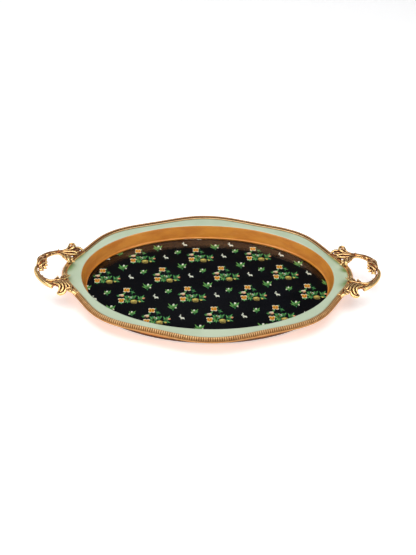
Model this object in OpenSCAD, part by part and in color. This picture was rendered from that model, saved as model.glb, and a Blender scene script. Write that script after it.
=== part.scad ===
// Oval serving tray: a moulded frame with a glazed printed panel, a ribbed gilt
// edge moulding and two cast scroll handles. Millimetres, +Z up, X along the
// length. The origin is at the middle of the tray, on the surface it stands on.

/* [Panel] */
// Half length of the glazed panel inside the well
panel_a = 172.5; // [165:0.5:178]
// Half width of the glazed panel inside the well
panel_b = 114; // [108:0.5:118]
// Thickness of the glass
glass_t = 2; // [2:0.5:4]
// Thickness of the printed sheet under the glass
sheet_t = 0.4; // [0.3:0.1:0.8]
// Clearance round the glass, inside the foot of the wall
glass_gap = 0.3; // [0.1:0.1:1]
// Width of printed sheet held under the foot of the wall
sheet_lap = 2; // [1.5:0.5:3]

/* [Frame] */
// Height of the well's wall above the glass
wall_h = 19; // [15:0.5:24]
// How far the wall leans outward from foot to top
wall_lean = 6; // [3:0.5:8]
// Thickness of the flat rim
rim_t = 3.2; // [2.6:0.2:5]
// Half length of the outline where rim and moulding meet
outline_a = 193; // [190:0.5:198]
// Half width of the outline where rim and moulding meet
outline_b = 134; // [131:0.5:139]
// Depth of the eight scallops, as a share of the radius
scallop = 0.020; // [0.005:0.001:0.025]
// Lift of the four quarter points, as a share of the radius
quartering = 0.008; // [0:0.001:0.015]

/* [Moulding] */
// Width of the edge moulding seen from above
moulding_w = 8; // [7:0.5:10]
// Height of the moulding's crest above the rim
moulding_h = 3.5; // [3:0.5:5]
// Thickness of the moulding outside the rim's edge
moulding_lip = 1.5; // [1:0.25:2.5]
// Outline angle where a handle's saddle takes over from the ribbed moulding
saddle_half_angle = 21; // [18:0.5:24]

/* [Handles] */
// Radius of the round grip
grip_r = 3; // [2.5:0.25:4]
// Radius of the leaf-wrapped knot on the grip
knot_r = 5; // [4:0.25:6]
// Radius of the arm roots
arm_r = 2.9; // [2.5:0.1:4]
// Radius of the handle screws' shanks
screw_r = 1.5; // [1.25:0.25:2]
// Outline angle of each handle screw
screw_angle = 14; // [11:0.5:17]

/* [Base] */
// Thickness of the base board
board_t = 3; // [2.5:0.5:6]
// Thickness of the foot pads
pad_t = 1; // [0.5:0.5:3]
// Radius of the foot pads
pad_r = 9; // [6:0.5:12]
// Number of board screws
board_screw_count = 10; // [6:2:14]

/* [Hidden] */

$fn = 48;
gap = 0.05;                                // working clearance round the screws
over = 1;                                  // how far a cutting shape runs past a face
oval_sides = 120;                          // sides of the oval shapes
outline_steps = 144;                       // points round the scalloped outline
section_sides = 10;                        // sides of the handles' swept rods

board_z = pad_t;
sheet_z = board_z + board_t;
glass_z = sheet_z + sheet_t;
well_z = glass_z + glass_t;                // top of the glass
rim_z = well_z + wall_h;                   // top of the rim
rim_under_z = rim_z - rim_t;
crest_z = rim_z + moulding_h;

foot_w = 7;                                // width of the frame's foot outside the panel
wall_foot_w = 10;                          // outer face of the wall where it meets the rim
rebate_w = sheet_lap + 0.3;                // room for the sheet under the wall
rim_edge = moulding_w - moulding_lip;      // rim's edge, measured out from the outline

board_screw_w = 4.4;                       // board screws' distance outside the panel
board_screw_len = 6;                       // depth of the board screws in the frame
board_screw_r = 1.2;
board_head_r = 2.05;
board_head_h = 1.4;

handle_screw_off = 3.2;                    // handle screws' distance outside the outline
handle_screw_depth = 2.6;                  // depth of the screws in the saddle
handle_head_r = 2.8;
handle_head_h = 2;
washer_r = 3.4;
washer_t = 0.8;

pad_angles = [20, 90, 160, 200, 270, 340];
pad_inset = 14;                            // pads' distance inside the board's edge

// Moulding section: distance out from the outline, and height above the rim
moulding_section = [
    [0, 0], [0.2, 1.0], [1.2, 1.6], [2.0, 2.6], [3.2, moulding_h], [4.8, moulding_h - 0.4],
    [6.4, 1.5], [7.3, 0], [moulding_w, -1], [moulding_w, -rim_t], [rim_edge, -rim_t], [rim_edge, 0]
];
// The handles' saddle is a plain, slightly higher moulding
saddle_section = [
    [0, 0], [0.2, 1.6], [1.2, 3.0], [2.8, moulding_h + 0.5], [5.2, moulding_h + 0.3],
    [7, 2.4], [moulding_w, 0.4], [moulding_w, -rim_t], [rim_edge, -rim_t], [rim_edge, 0]
];

// Grip of the right handle, from the far root round to the open reed end;
// the heights of all the handles' paths are measured from the rim
grip_path = [
    [203, 38, 5.1], [212, 38, 7.1], [221, 35, 9.1], [230, 31, 9.6], [237, 25, 10.1], [240, 17, 10.6],
    [241, 8, 10.6], [241, -3, 10.6], [239, -13, 10.1], [234, -23.5, 9.1], [227, -32, 8.1], [219, -39, 6.6]
];
grip_radii = [
    arm_r, arm_r, arm_r, arm_r, knot_r - 1, knot_r, knot_r, grip_r,
    grip_r, grip_r + 0.3, grip_r + 0.5, grip_r + 0.2
];
// Near arm, from under the grip to the saddle
near_arm_path = [[229, -27, 7.6], [221, -28.5, 6.6], [212, -26.5, 5.6], [203, -23, 4.6]];
near_arm_radii = [2.2, 3, 4, 4];
// Standing scroll above the far root
far_scroll_path = [[203, 38, 5.6], [200.5, 43, 7.6], [198.5, 48, 9.6], [196, 51.5, 10.6], [193.5, 49.5, 10.1]];
far_scroll_radii = [4, 3.4, 3, 2.6, 2];
// Leaf lobes that hold the far root to the saddle
far_lobe_path = [[205, 36, 4.6], [199, 29, 4.6], [198, 22, 4.6], [199, 16, 4.6]];
far_lobe_radii = [4.5, 4.2, 3.6, 2.6];
far_hook_path = [[203, 38, 5.1], [194, 43.5, 6.1], [186, 46, 4.6]];
far_hook_radii = [3.4, 3.2, 2.4];
// Leaf lobes and hanging scroll of the near root
near_scroll_path = [[210, -28, 5.6], [205, -36, 5.1], [202, -43, 4.1], [204, -48.5, 2.6]];
near_scroll_radii = [4.4, 4.6, 4.2, 2.8];
near_lobe_path = [[206, -27, 5.1], [199, -33, 5.1], [194, -40, 4.6], [188, -47, 4.1]];
near_lobe_radii = [4.4, 4.2, 3.6, 3];
near_tip_path = [[208, -25, 5.1], [201, -19, 5.1], [198, -13, 4.6]];
near_tip_radii = [4, 3, 1.8];

// Scalloped outline: an oval whose radius swells eight times on the way round
function swell(t) = 1 + scallop * cos(8 * t) + quartering * cos(4 * t);
function outline_point(t) = [outline_a * cos(t) * swell(t), outline_b * sin(t) * swell(t)];
function unit(v) = v / norm(v);
function turned(v) = [v[1], -v[0]];
function outward(t) = turned(unit(outline_point(t + 0.5) - outline_point(t - 0.5)));
function outline_offset(t, d) = outline_point(t) + outward(t) * d;
function cross_unit(a, b) = unit(cross(a, b));

// Points inside a list of 3-D points, rounded by a spline through them
function at(path, i) = path[min(max(i, 0), len(path) - 1)];
function spline(a, b, c, d, u) =
    0.5 * (2 * b + (c - a) * u + (2 * a - 5 * b + 4 * c - d) * u * u + (3 * b - a - 3 * c + d) * u * u * u);
function rounded(path, steps) = [
    for (i = [0:len(path) - 2], k = [0:steps - 1])
        spline(at(path, i - 1), path[i], path[i + 1], at(path, i + 2), k / steps),
    path[len(path) - 1]
];
function heading(path, i) = unit(at(path, i + 1) - at(path, i - 1));
function ring_point(path, radii, i, a) =
    let (ahead = heading(path, i), side = cross_unit([0, 0, 1], ahead), up = cross(ahead, side))
    path[i] + (side * cos(a) + up * sin(a)) * radii[i];

// A closed surface from rings of points, capped at both ends
module skin(rings) {
    n = len(rings[0]);
    last = len(rings) - 1;
    polyhedron(
        points = [for (ring = rings, p = ring) p],
        faces = concat(
            [[for (k = [0:n - 1]) n - 1 - k]],
            [for (i = [0:last - 1], k = [0:n - 1], half = [0, 1])
                let (a = i * n + k, b = i * n + (k + 1) % n)
                half == 0 ? [a, b, b + n] : [a, b + n, a + n]],
            [[for (k = [0:n - 1]) last * n + k]]
        )
    );
}

// A round rod along a path, with a radius at each of its points
module rod(path, radii, steps = 2) {
    fine = rounded(path, steps);
    widths = rounded([for (r = radii) [r]], steps);
    skin([
        for (i = [0:len(fine) - 1])
            [for (k = [0:section_sides - 1])
                ring_point(fine, [for (w = widths) w[0]], i, -k * 360 / section_sides)]
    ]);
}

// A section swept along the outline between two angles
module edge_sweep(section, from, to) {
    steps = ceil(abs(to - from) * outline_steps / 360);
    skin([
        for (i = [0:steps])
            let (t = from + (to - from) * i / steps)
            [for (s = section) let (p = outline_offset(t, s[0])) [p[0], p[1], rim_z + s[1]]]
    ]);
}

// The panel's oval, grown outward by a margin
function oval_point(i, margin) =
    let (a = i * 360 / oval_sides)
    [(panel_a + margin) * cos(a), (panel_b + margin) * sin(a)];
function oval_ring(margin, z) = [
    for (i = [0:oval_sides - 1])
        let (p = oval_point(i, margin))
        [p[0], p[1], z]
];

module oval(margin = 0) {
    polygon([for (i = [0:oval_sides - 1]) oval_point(i, margin)]);
}

// An oval prism whose margin changes from foot to top
module leaning_oval(foot, top, height) {
    foot_hub = 2 * oval_sides;
    polyhedron(
        points = concat(oval_ring(foot, 0), oval_ring(top, height), [[0, 0, 0], [0, 0, height]]),
        faces = [
            for (i = [0:oval_sides - 1], face = [0:3])
                let (a = i, b = (i + 1) % oval_sides)
                face == 0 ? [a, b, foot_hub] :
                face == 1 ? [b + oval_sides, a + oval_sides, foot_hub + 1] :
                face == 2 ? [a, a + oval_sides, b] : [b, a + oval_sides, b + oval_sides]
        ]
    );
}

module outline_plate(margin) {
    polygon([
        for (i = [0:outline_steps - 1])
            outline_offset(i * 360 / outline_steps, margin)
    ]);
}

// Children at each board screw, round the frame's foot
module at_board_screws() {
    for (i = [0:board_screw_count - 1]) {
        a = (i + 0.5) * 360 / board_screw_count;
        translate([(panel_a + board_screw_w) * cos(a), (panel_b + board_screw_w) * sin(a), board_z]) children();
    }
}

// Children at the two handle screws on the right side of the tray
module at_handle_screws() {
    for (a = [-screw_angle, screw_angle]) {
        p = outline_offset(a, handle_screw_off);
        translate([p[0], p[1], rim_under_z]) children();
    }
}

module mirrored_left() {
    mirror([1, 0, 0]) children();
}

module rim_frame() {
    color("#becfb2")
    difference() {
        union() {
            translate([0, 0, rim_under_z]) linear_extrude(rim_t) outline_plate(rim_edge);
            translate([0, 0, sheet_z]) leaning_oval(foot_w, wall_foot_w, rim_under_z - sheet_z + over);
        }
        translate([0, 0, well_z])
            leaning_oval(0, wall_lean * (wall_h + over) / wall_h, wall_h + over);
        translate([0, 0, sheet_z]) linear_extrude(wall_h) oval();
        translate([0, 0, sheet_z - over]) linear_extrude(sheet_t + over) oval(rebate_w);
        at_board_screws() cylinder(h = board_t + board_screw_len + gap, r = board_screw_r + gap);
        for (side = [0, 1])
            mirror([side, 0, 0]) at_handle_screws()
                translate([0, 0, -over]) cylinder(h = rim_t + 2 * over, r = screw_r + gap);
    }
}

module moulding_back() {
    color("#a8723a") edge_sweep(moulding_section, 180 - saddle_half_angle, saddle_half_angle);
}

module moulding_front() {
    color("#a8723a") edge_sweep(moulding_section, -saddle_half_angle, saddle_half_angle - 180);
}

module glass_panel() {
    color("#dfe8ea", 0.35) translate([0, 0, glass_z]) linear_extrude(glass_t) oval(-glass_gap);
}

module printed_sheet() {
    color("#14141c") translate([0, 0, sheet_z]) linear_extrude(sheet_t) oval(sheet_lap);
}

module base_board() {
    color("#5a3b22")
    difference() {
        translate([0, 0, board_z]) linear_extrude(board_t) oval(foot_w);
        at_board_screws() {
            translate([0, 0, -over]) cylinder(h = board_t + 2 * over, r = board_screw_r + gap);
            translate([0, 0, -over]) cylinder(h = board_head_h + over + gap, r = board_head_r + gap);
        }
    }
}

module board_screws() {
    color("#b8b6ae") at_board_screws() {
        cylinder(h = board_head_h, r = board_head_r);
        cylinder(h = board_t + board_screw_len, r = board_screw_r);
    }
}

module foot_pads() {
    color("#3b3a38")
    for (a = pad_angles)
        translate([
            (panel_a + foot_w - pad_inset) * cos(a), (panel_b + foot_w - pad_inset) * sin(a), 0
        ]) cylinder(h = pad_t, r = pad_r);
}

// Right handle: plain saddle, leaf lobes, scrolls and the open grip, cast as one
module handle_casting() {
    difference() {
        union() {
            edge_sweep(saddle_section, saddle_half_angle, -saddle_half_angle);
            translate([0, 0, rim_z]) {
                rod(grip_path, grip_radii);
                rod(near_arm_path, near_arm_radii);
                rod(far_scroll_path, far_scroll_radii);
                rod(far_lobe_path, far_lobe_radii);
                rod(far_hook_path, far_hook_radii);
                rod(near_scroll_path, near_scroll_radii);
                rod(near_lobe_path, near_lobe_radii);
                rod(near_tip_path, near_tip_radii);
            }
        }
        // seat on the rim's top and round its edge, under the leaf lobes
        translate([0, 0, rim_under_z - 2 * over])
            linear_extrude(rim_t + 2 * over) outline_plate(rim_edge);
        at_handle_screws() cylinder(h = rim_t + handle_screw_depth + gap, r = screw_r + gap);
    }
}

module handle_right() {
    color("#c9973f") handle_casting();
}

module handle_left() {
    color("#c9973f") mirrored_left() handle_casting();
}

module handle_screws() {
    at_handle_screws() {
        cylinder(h = rim_t + handle_screw_depth, r = screw_r);
        translate([0, 0, -washer_t]) cylinder(h = washer_t, r = screw_r);
        translate([0, 0, -washer_t - handle_head_h]) cylinder(h = handle_head_h, r = handle_head_r);
    }
}

module handle_screws_right() {
    color("#b8b6ae") handle_screws();
}

module handle_screws_left() {
    color("#b8b6ae") mirrored_left() handle_screws();
}

module handle_washers() {
    at_handle_screws() translate([0, 0, -washer_t])
        difference() {
            cylinder(h = washer_t, r = washer_r);
            translate([0, 0, -over]) cylinder(h = washer_t + 2 * over, r = screw_r + gap);
        }
}

module handle_washers_right() {
    color("#9a9890") handle_washers();
}

module handle_washers_left() {
    color("#9a9890") mirrored_left() handle_washers();
}

rim_frame();
moulding_back();
moulding_front();
glass_panel();
printed_sheet();
base_board();
board_screws();
foot_pads();
handle_left();
handle_right();
handle_screws_left();
handle_screws_right();
handle_washers_left();
handle_washers_right();
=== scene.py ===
"""Visual model of an oval serving tray: scalloped painted frame, ribbed gilt moulding, a printed
panel under glass and two cast scroll handles. Metres, +Z up, standing on the floor at z = 0."""

from __future__ import annotations

import logging
import math
from collections.abc import Iterable, Mapping, Sequence
from dataclasses import dataclass, field
from enum import Enum, IntEnum

import bpy
import numpy as np
from mathutils import Matrix, Vector


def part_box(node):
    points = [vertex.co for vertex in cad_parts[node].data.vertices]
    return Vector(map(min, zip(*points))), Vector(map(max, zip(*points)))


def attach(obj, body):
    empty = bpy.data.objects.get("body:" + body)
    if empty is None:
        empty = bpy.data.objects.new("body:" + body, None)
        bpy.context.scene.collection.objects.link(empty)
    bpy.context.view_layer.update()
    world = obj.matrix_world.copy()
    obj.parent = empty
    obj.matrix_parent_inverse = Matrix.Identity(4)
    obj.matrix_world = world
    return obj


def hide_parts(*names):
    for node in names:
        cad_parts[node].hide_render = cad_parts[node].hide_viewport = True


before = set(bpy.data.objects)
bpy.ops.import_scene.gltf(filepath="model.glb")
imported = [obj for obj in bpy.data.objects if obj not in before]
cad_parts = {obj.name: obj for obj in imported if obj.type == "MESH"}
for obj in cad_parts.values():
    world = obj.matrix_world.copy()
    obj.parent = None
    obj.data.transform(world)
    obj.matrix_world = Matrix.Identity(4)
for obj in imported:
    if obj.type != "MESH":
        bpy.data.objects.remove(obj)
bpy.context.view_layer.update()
LOG = logging.getLogger("tray")

MM = 0.001
ROOT_BODY = "root"
OVAL_POINTS = 240
FINE_POINTS = 6000
PRINT_HEIGHT = 0.16 * MM

Colour = tuple[float, float, float, float]
Spot = tuple[float, float]
Array = np.ndarray


def tint(red: int, green: int, blue: int) -> Colour:
    """Turn a paint chart's 0 to 255 colour into the linear colour that shaders use.

    Args:
        red: Red share, 0 to 255.
        green: Green share, 0 to 255.
        blue: Blue share, 0 to 255.

    Returns:
        Linear red, green, blue and an alpha of one.
    """
    shares = [value / 255 for value in (red, green, blue)]
    linear = [s / 12.92 if s <= 0.04045 else ((s + 0.055) / 1.055) ** 2.4 for s in shares]
    return (linear[0], linear[1], linear[2], 1.0)


# ---------------------------------------------------------------- shader building


class Wire:
    """An output socket of a node, usable in arithmetic."""

    def __init__(self, bench: Bench, socket: bpy.types.NodeSocket) -> None:
        """Keep the socket and the bench whose tree it is in."""
        self.bench = bench
        self.socket = socket

    def _maths(self, operation: str, first: Wire | float, second: Wire | float) -> Wire:
        """Add one Math node."""
        return self.bench.node("ShaderNodeMath", {"operation": operation}, {0: first, 1: second})

    def __add__(self, other: Wire | float) -> Wire:
        """Sum of this and another value."""
        return self._maths("ADD", self, other)

    def __radd__(self, other: float) -> Wire:
        """Sum of a number and this."""
        return self._maths("ADD", other, self)

    def __sub__(self, other: Wire | float) -> Wire:
        """This less another value."""
        return self._maths("SUBTRACT", self, other)

    def __rsub__(self, other: float) -> Wire:
        """A number less this."""
        return self._maths("SUBTRACT", other, self)

    def __mul__(self, other: Wire | float) -> Wire:
        """Product of this and another value."""
        return self._maths("MULTIPLY", self, other)

    def __rmul__(self, other: float) -> Wire:
        """Product of a number and this."""
        return self._maths("MULTIPLY", other, self)

    def __pow__(self, other: float) -> Wire:
        """This raised to a power."""
        return self._maths("POWER", self, other)

    def within(self, low: float, high: float) -> Wire:
        """Map low to high onto 0 to 1, smoothly and held at both ends."""
        settings = {"interpolation_type": "SMOOTHSTEP"}
        return self.bench.node("ShaderNodeMapRange", settings, {0: self, 1: low, 2: high, 3: 0.0, 4: 1.0})


Plug = Wire | float | Sequence[float]


class Bench:
    """One material's node tree while it is being built."""

    def __init__(self, name: str) -> None:
        """Start an empty material.

        Args:
            name: The material's name.
        """
        self.material = bpy.data.materials.new(name)
        self.material.use_nodes = True
        self.tree = self.material.node_tree
        self.tree.nodes.clear()

    def node(
        self,
        kind: str,
        settings: Mapping[str, object] | None = None,
        sockets: Mapping[str | int, Plug] | None = None,
        output: int = 0,
    ) -> Wire:
        """Add a node.

        Args:
            kind: The node's type name.
            settings: Its properties, which are set first.
            sockets: Values or wires for its input sockets, by name or number.
            output: Which output to hand back.

        Returns:
            The chosen output as a wire.
        """
        made = self.tree.nodes.new(kind)
        for name, value in (settings or {}).items():
            setattr(made, name, value)
        for name, value in (sockets or {}).items():
            if isinstance(value, Wire):
                self.tree.links.new(value.socket, made.inputs[name])
            else:
                made.inputs[name].default_value = value
        return Wire(self, made.outputs[output])

    def place(self) -> Wire:
        """The point on the surface, in the tray's own frame."""
        return self.node("ShaderNodeTexCoord", output=3)

    def attribute(self, name: str) -> Wire:
        """A value stored on the mesh's points."""
        return self.node("ShaderNodeAttribute", {"attribute_name": name}, output=2)

    def mottle(self, size_mm: float, detail: float = 3.0, stretch: Sequence[float] | None = None) -> Wire:
        """Soft noise with blotches of about the given size.

        Args:
            size_mm: Size of a blotch in millimetres.
            detail: How many finer layers are laid over it.
            stretch: Scale along each axis, to draw the blotches out.

        Returns:
            A value from 0 to 1.
        """
        where = self.place()
        if stretch is not None:
            where = self.node("ShaderNodeMapping", None, {"Vector": where, "Scale": stretch})
        sockets = {"Vector": where, "Scale": 1 / (size_mm * MM), "Detail": detail}
        return self.node("ShaderNodeTexNoise", None, sockets)

    def blend(self, share: Plug, first: Plug, second: Plug) -> Wire:
        """Mix two colours by a share from 0 to 1."""
        return self.node("ShaderNodeMix", {"data_type": "RGBA"}, {0: share, 6: first, 7: second}, output=2)

    def bump(self, height: Wire, strength: float, depth_mm: float) -> Wire:
        """A normal that follows a height pattern."""
        sockets = {"Height": height, "Strength": strength, "Distance": depth_mm * MM}
        return self.node("ShaderNodeBump", None, sockets)

    def finish(self, sockets: Mapping[str, Plug]) -> bpy.types.Material:
        """End the tree in one Principled surface and return the material."""
        return self.put_out(self.node("ShaderNodeBsdfPrincipled", None, sockets))

    def put_out(self, surface: Wire) -> bpy.types.Material:
        """Send a surface to the material's output.

        Args:
            surface: The surface shader's output.

        Returns:
            The finished material.
        """
        made = self.tree.nodes.new("ShaderNodeOutputMaterial")
        self.tree.links.new(surface.socket, made.inputs["Surface"])
        return self.material


# ---------------------------------------------------------------- finishes


@dataclass(frozen=True)
class SagePaint:
    """Satin sage paint of the rim, with painted shade: a darker green next to the moulding and under the
    handles.
    """

    name: str = "sage_paint"
    body: Colour = tint(194, 210, 181)
    pale: Colour = tint(203, 217, 190)
    rim_shade_colour: Colour = tint(112, 141, 79)
    roughness: float = 0.42
    cloud_mm: float = 38
    drift_mm: float = 5
    peel_mm: float = 0.9

    def material(self) -> bpy.types.Material:
        """Build the paint.

        Returns:
            The finished material.
        """
        bench = Bench(self.name)
        cloud = bench.mottle(self.cloud_mm, 2.0)
        body = bench.blend(cloud.within(0.35, 0.7), self.body, self.pale)
        drift = bench.mottle(self.drift_mm, 4.0)
        # painted shade: the stored value pulls the rim towards the shade colour, varied by the drift
        # blotches
        painted_shade = bench.attribute("painted_shade") * (0.75 + 0.5 * drift)
        colour = bench.blend(painted_shade.within(0.02, 0.95), body, self.rim_shade_colour)
        peel = bench.mottle(self.peel_mm, 1.0)
        return bench.finish({
            "Base Color": colour,
            "Roughness": self.roughness + 0.08 * (drift - 0.5),
            "Coat Weight": 0.15,
            "Coat Roughness": 0.25,
            "Normal": bench.bump(peel, 0.25, 0.03),
        })


@dataclass(frozen=True)
class OchrePaint:
    """Gold-ochre lacquer of the well's wall, with a faint pearl and brush marks along it."""

    name: str = "ochre_paint"
    body: Colour = tint(226, 146, 44)
    deep: Colour = tint(208, 124, 32)
    light: Colour = tint(238, 180, 100)
    roughness: float = 0.36
    pearl: float = 0.12
    cloud_mm: float = 26
    brush_mm: float = 1.6

    def material(self) -> bpy.types.Material:
        """Build the lacquer.

        Returns:
            The finished material.
        """
        bench = Bench(self.name)
        cloud = bench.mottle(self.cloud_mm, 3.0, (1.0, 1.0, 3.0))
        body = bench.blend(cloud.within(0.3, 0.7), self.deep, self.body)
        brushed = bench.mottle(self.brush_mm, 3.0, (0.15, 0.15, 2.5))
        colour = bench.blend(0.5 * brushed.within(0.55, 0.85), body, self.light)
        return bench.finish({
            "Base Color": colour,
            "Metallic": self.pearl,
            "Roughness": self.roughness + 0.12 * (brushed - 0.5),
            "Coat Weight": 0.25,
            "Coat Roughness": 0.2,
            "Normal": bench.bump(brushed, 0.2, 0.04),
        })


@dataclass(frozen=True)
class Gilding:
    """Gilt metal leaf over a brown ground, brown with patina where it lies deep. The bright tone on the
    crests is a painted highlight, and the dark tone also carries painted shade in hollows and underneath.

    Wear is how far blotches shift the tones, and metal is how metallic the bright leaf is.
    """

    name: str
    bright: Colour
    middle: Colour
    deep: Colour
    roughness: float
    grain_mm: float
    wear: float = 0.35
    metal: float = 0.85

    def material(self) -> bpy.types.Material:
        """Build the gilding.

        Returns:
            The finished material.
        """
        bench = Bench(self.name)
        blotch = bench.mottle(self.grain_mm * 6, 4.0)
        grain = bench.mottle(self.grain_mm, 3.0)
        # patina plus painted shade; the lowest values, on the crests, take the painted highlight
        depth = bench.attribute("patina_and_shade") + self.wear * (blotch - 0.5) + 0.15 * (grain - 0.5)
        upper = bench.blend(depth.within(0.12, 0.5), self.bright, self.middle)
        colour = bench.blend(depth.within(0.5, 0.88), upper, self.deep)
        return bench.finish({
            "Base Color": colour,
            "Metallic": self.metal - 0.4 * depth.within(0.4, 0.9),
            "Roughness": self.roughness + 0.3 * depth.within(0.3, 0.9) + 0.1 * (grain - 0.5),
            "Normal": bench.bump(grain, 0.3, 0.05),
        })


@dataclass(frozen=True)
class ClearGlass:
    """Polished cover glass that mirrors at a slant and otherwise lets the print show."""

    name: str = "clear_glass"
    square_on: float = 0.045
    slant_power: float = 5.0
    polish: float = 0.015
    body: Colour = (0.97, 0.985, 0.98, 1.0)

    def material(self) -> bpy.types.Material:
        """Build the glass.

        Returns:
            The finished material.
        """
        bench = Bench(self.name)
        facing = bench.node("ShaderNodeLayerWeight", None, {"Blend": 0.5}, output=1)
        mirrored = self.square_on + (1 - self.square_on) * facing**self.slant_power
        through = bench.node("ShaderNodeBsdfTransparent", None, {"Color": self.body})
        shine = bench.node("ShaderNodeBsdfGlossy", None, {"Roughness": self.polish})
        surface = bench.node("ShaderNodeMixShader", None, {0: mirrored, 1: through, 2: shine})
        return bench.put_out(surface)


@dataclass(frozen=True)
class NightPaper:
    """Blue-black ground of the printed sheet, with faint drifting blotches."""

    name: str = "night_paper"
    ground: Colour = tint(7, 7, 11)
    drift: Colour = tint(15, 15, 21)
    cloud_mm: float = 42
    tooth_mm: float = 0.5

    def material(self) -> bpy.types.Material:
        """Build the ground.

        Returns:
            The finished material.
        """
        bench = Bench(self.name)
        cloud = bench.mottle(self.cloud_mm, 4.0, (0.6, 1.0, 1.0))
        colour = bench.blend(cloud.within(0.42, 0.75), self.ground, self.drift)
        tooth = bench.mottle(self.tooth_mm, 2.0)
        return bench.finish({
            "Base Color": colour,
            "Roughness": 0.6 + 0.15 * (tooth - 0.5),
            "Specular IOR Level": 0.05,
            "Normal": bench.bump(tooth, 0.1, 0.02),
        })


@dataclass(frozen=True)
class Fibreboard:
    """Brown hardboard with a pressed screen on its face and fine fibres."""

    name: str = "fibreboard"
    dark: Colour = tint(74, 47, 28)
    light: Colour = tint(124, 84, 52)
    fibre_mm: float = 1.2
    cloud_mm: float = 30
    screen_scale: float = 700.0

    def material(self) -> bpy.types.Material:
        """Build the board.

        Returns:
            The finished material.
        """
        bench = Bench(self.name)
        fibre = bench.mottle(self.fibre_mm, 6.0, (0.35, 2.0, 1.0))
        cloud = bench.mottle(self.cloud_mm, 3.0)
        colour = bench.blend((0.7 * fibre + 0.3 * cloud).within(0.35, 0.65), self.dark, self.light)
        mesh = {"Vector": bench.place(), "Scale": self.screen_scale, "Randomness": 0.0}
        screen = bench.node("ShaderNodeTexVoronoi", {"distance": "CHEBYCHEV"}, mesh)
        return bench.finish({
            "Base Color": colour,
            "Roughness": 0.66 + 0.2 * (fibre - 0.5),
            "Normal": bench.bump(fibre + 0.6 * screen, 0.5, 0.12),
        })


@dataclass(frozen=True)
class PadFelt:
    """Dark grey felt with a matted nap."""

    name: str = "pad_felt"
    dark: Colour = tint(44, 43, 41)
    light: Colour = tint(92, 90, 86)
    nap_mm: float = 0.55
    clump_mm: float = 2.6

    def material(self) -> bpy.types.Material:
        """Build the felt.

        Returns:
            The finished material.
        """
        bench = Bench(self.name)
        nap = bench.mottle(self.nap_mm, 6.0, (1.0, 1.0, 2.0))
        clump = bench.mottle(self.clump_mm, 3.0)
        colour = bench.blend((0.65 * nap + 0.35 * clump).within(0.36, 0.66), self.dark, self.light)
        return bench.finish({
            "Base Color": colour,
            "Roughness": 0.95,
            "Sheen Weight": 0.4,
            "Sheen Roughness": 0.5,
            "Normal": bench.bump(nap, 0.8, 0.25),
        })


@dataclass(frozen=True)
class ZincSteel:
    """Bright zinc plating on the screws and washers, turned round their heads."""

    name: str = "zinc_steel"
    bright: Colour = tint(206, 205, 198)
    dull: Colour = tint(150, 149, 142)
    spangle_mm: float = 0.8
    scratch_mm: float = 0.25

    def material(self) -> bpy.types.Material:
        """Build the plating.

        Returns:
            The finished material.
        """
        bench = Bench(self.name)
        spangle = bench.mottle(self.spangle_mm, 3.0)
        scratch = bench.mottle(self.scratch_mm, 2.0, (1.0, 0.2, 1.0))
        return bench.finish({
            "Base Color": bench.blend(spangle.within(0.35, 0.65), self.dull, self.bright),
            "Metallic": 1.0,
            "Roughness": 0.3 + 0.18 * (scratch - 0.5),
            "Normal": bench.bump(scratch, 0.2, 0.02),
        })


class Ink(IntEnum):
    """Printing inks, in the order of the print's material slots."""

    FOREST = 0
    LEAF = 1
    SPRING = 2
    CREAM = 3
    ORANGE = 4
    PEACH = 5
    BLUSH = 6
    GOLD = 7
    OLIVE = 8
    LEMON = 9
    PEARL = 10
    AMBER = 11
    APRICOT = 12

    def material(self) -> bpy.types.Material:
        """A matt ink of one flat colour, as printed."""
        bench = Bench(f"ink_{self.name.lower()}")
        return bench.finish({"Base Color": INK_COLOURS[self], "Roughness": 0.55, "Specular IOR Level": 0.1})


INK_COLOURS: dict[Ink, Colour] = {
    Ink.FOREST: tint(44, 112, 68),
    Ink.LEAF: tint(86, 166, 98),
    Ink.SPRING: tint(132, 192, 96),
    Ink.CREAM: tint(255, 244, 216),
    Ink.ORANGE: tint(244, 146, 30),
    Ink.PEACH: tint(255, 206, 160),
    Ink.BLUSH: tint(244, 160, 122),
    Ink.GOLD: tint(196, 168, 92),
    Ink.OLIVE: tint(112, 96, 48),
    Ink.LEMON: tint(246, 220, 110),
    Ink.PEARL: tint(255, 255, 236),
    Ink.AMBER: tint(206, 104, 24),
    Ink.APRICOT: tint(252, 186, 88),
}


# ---------------------------------------------------------------- shapes


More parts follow.
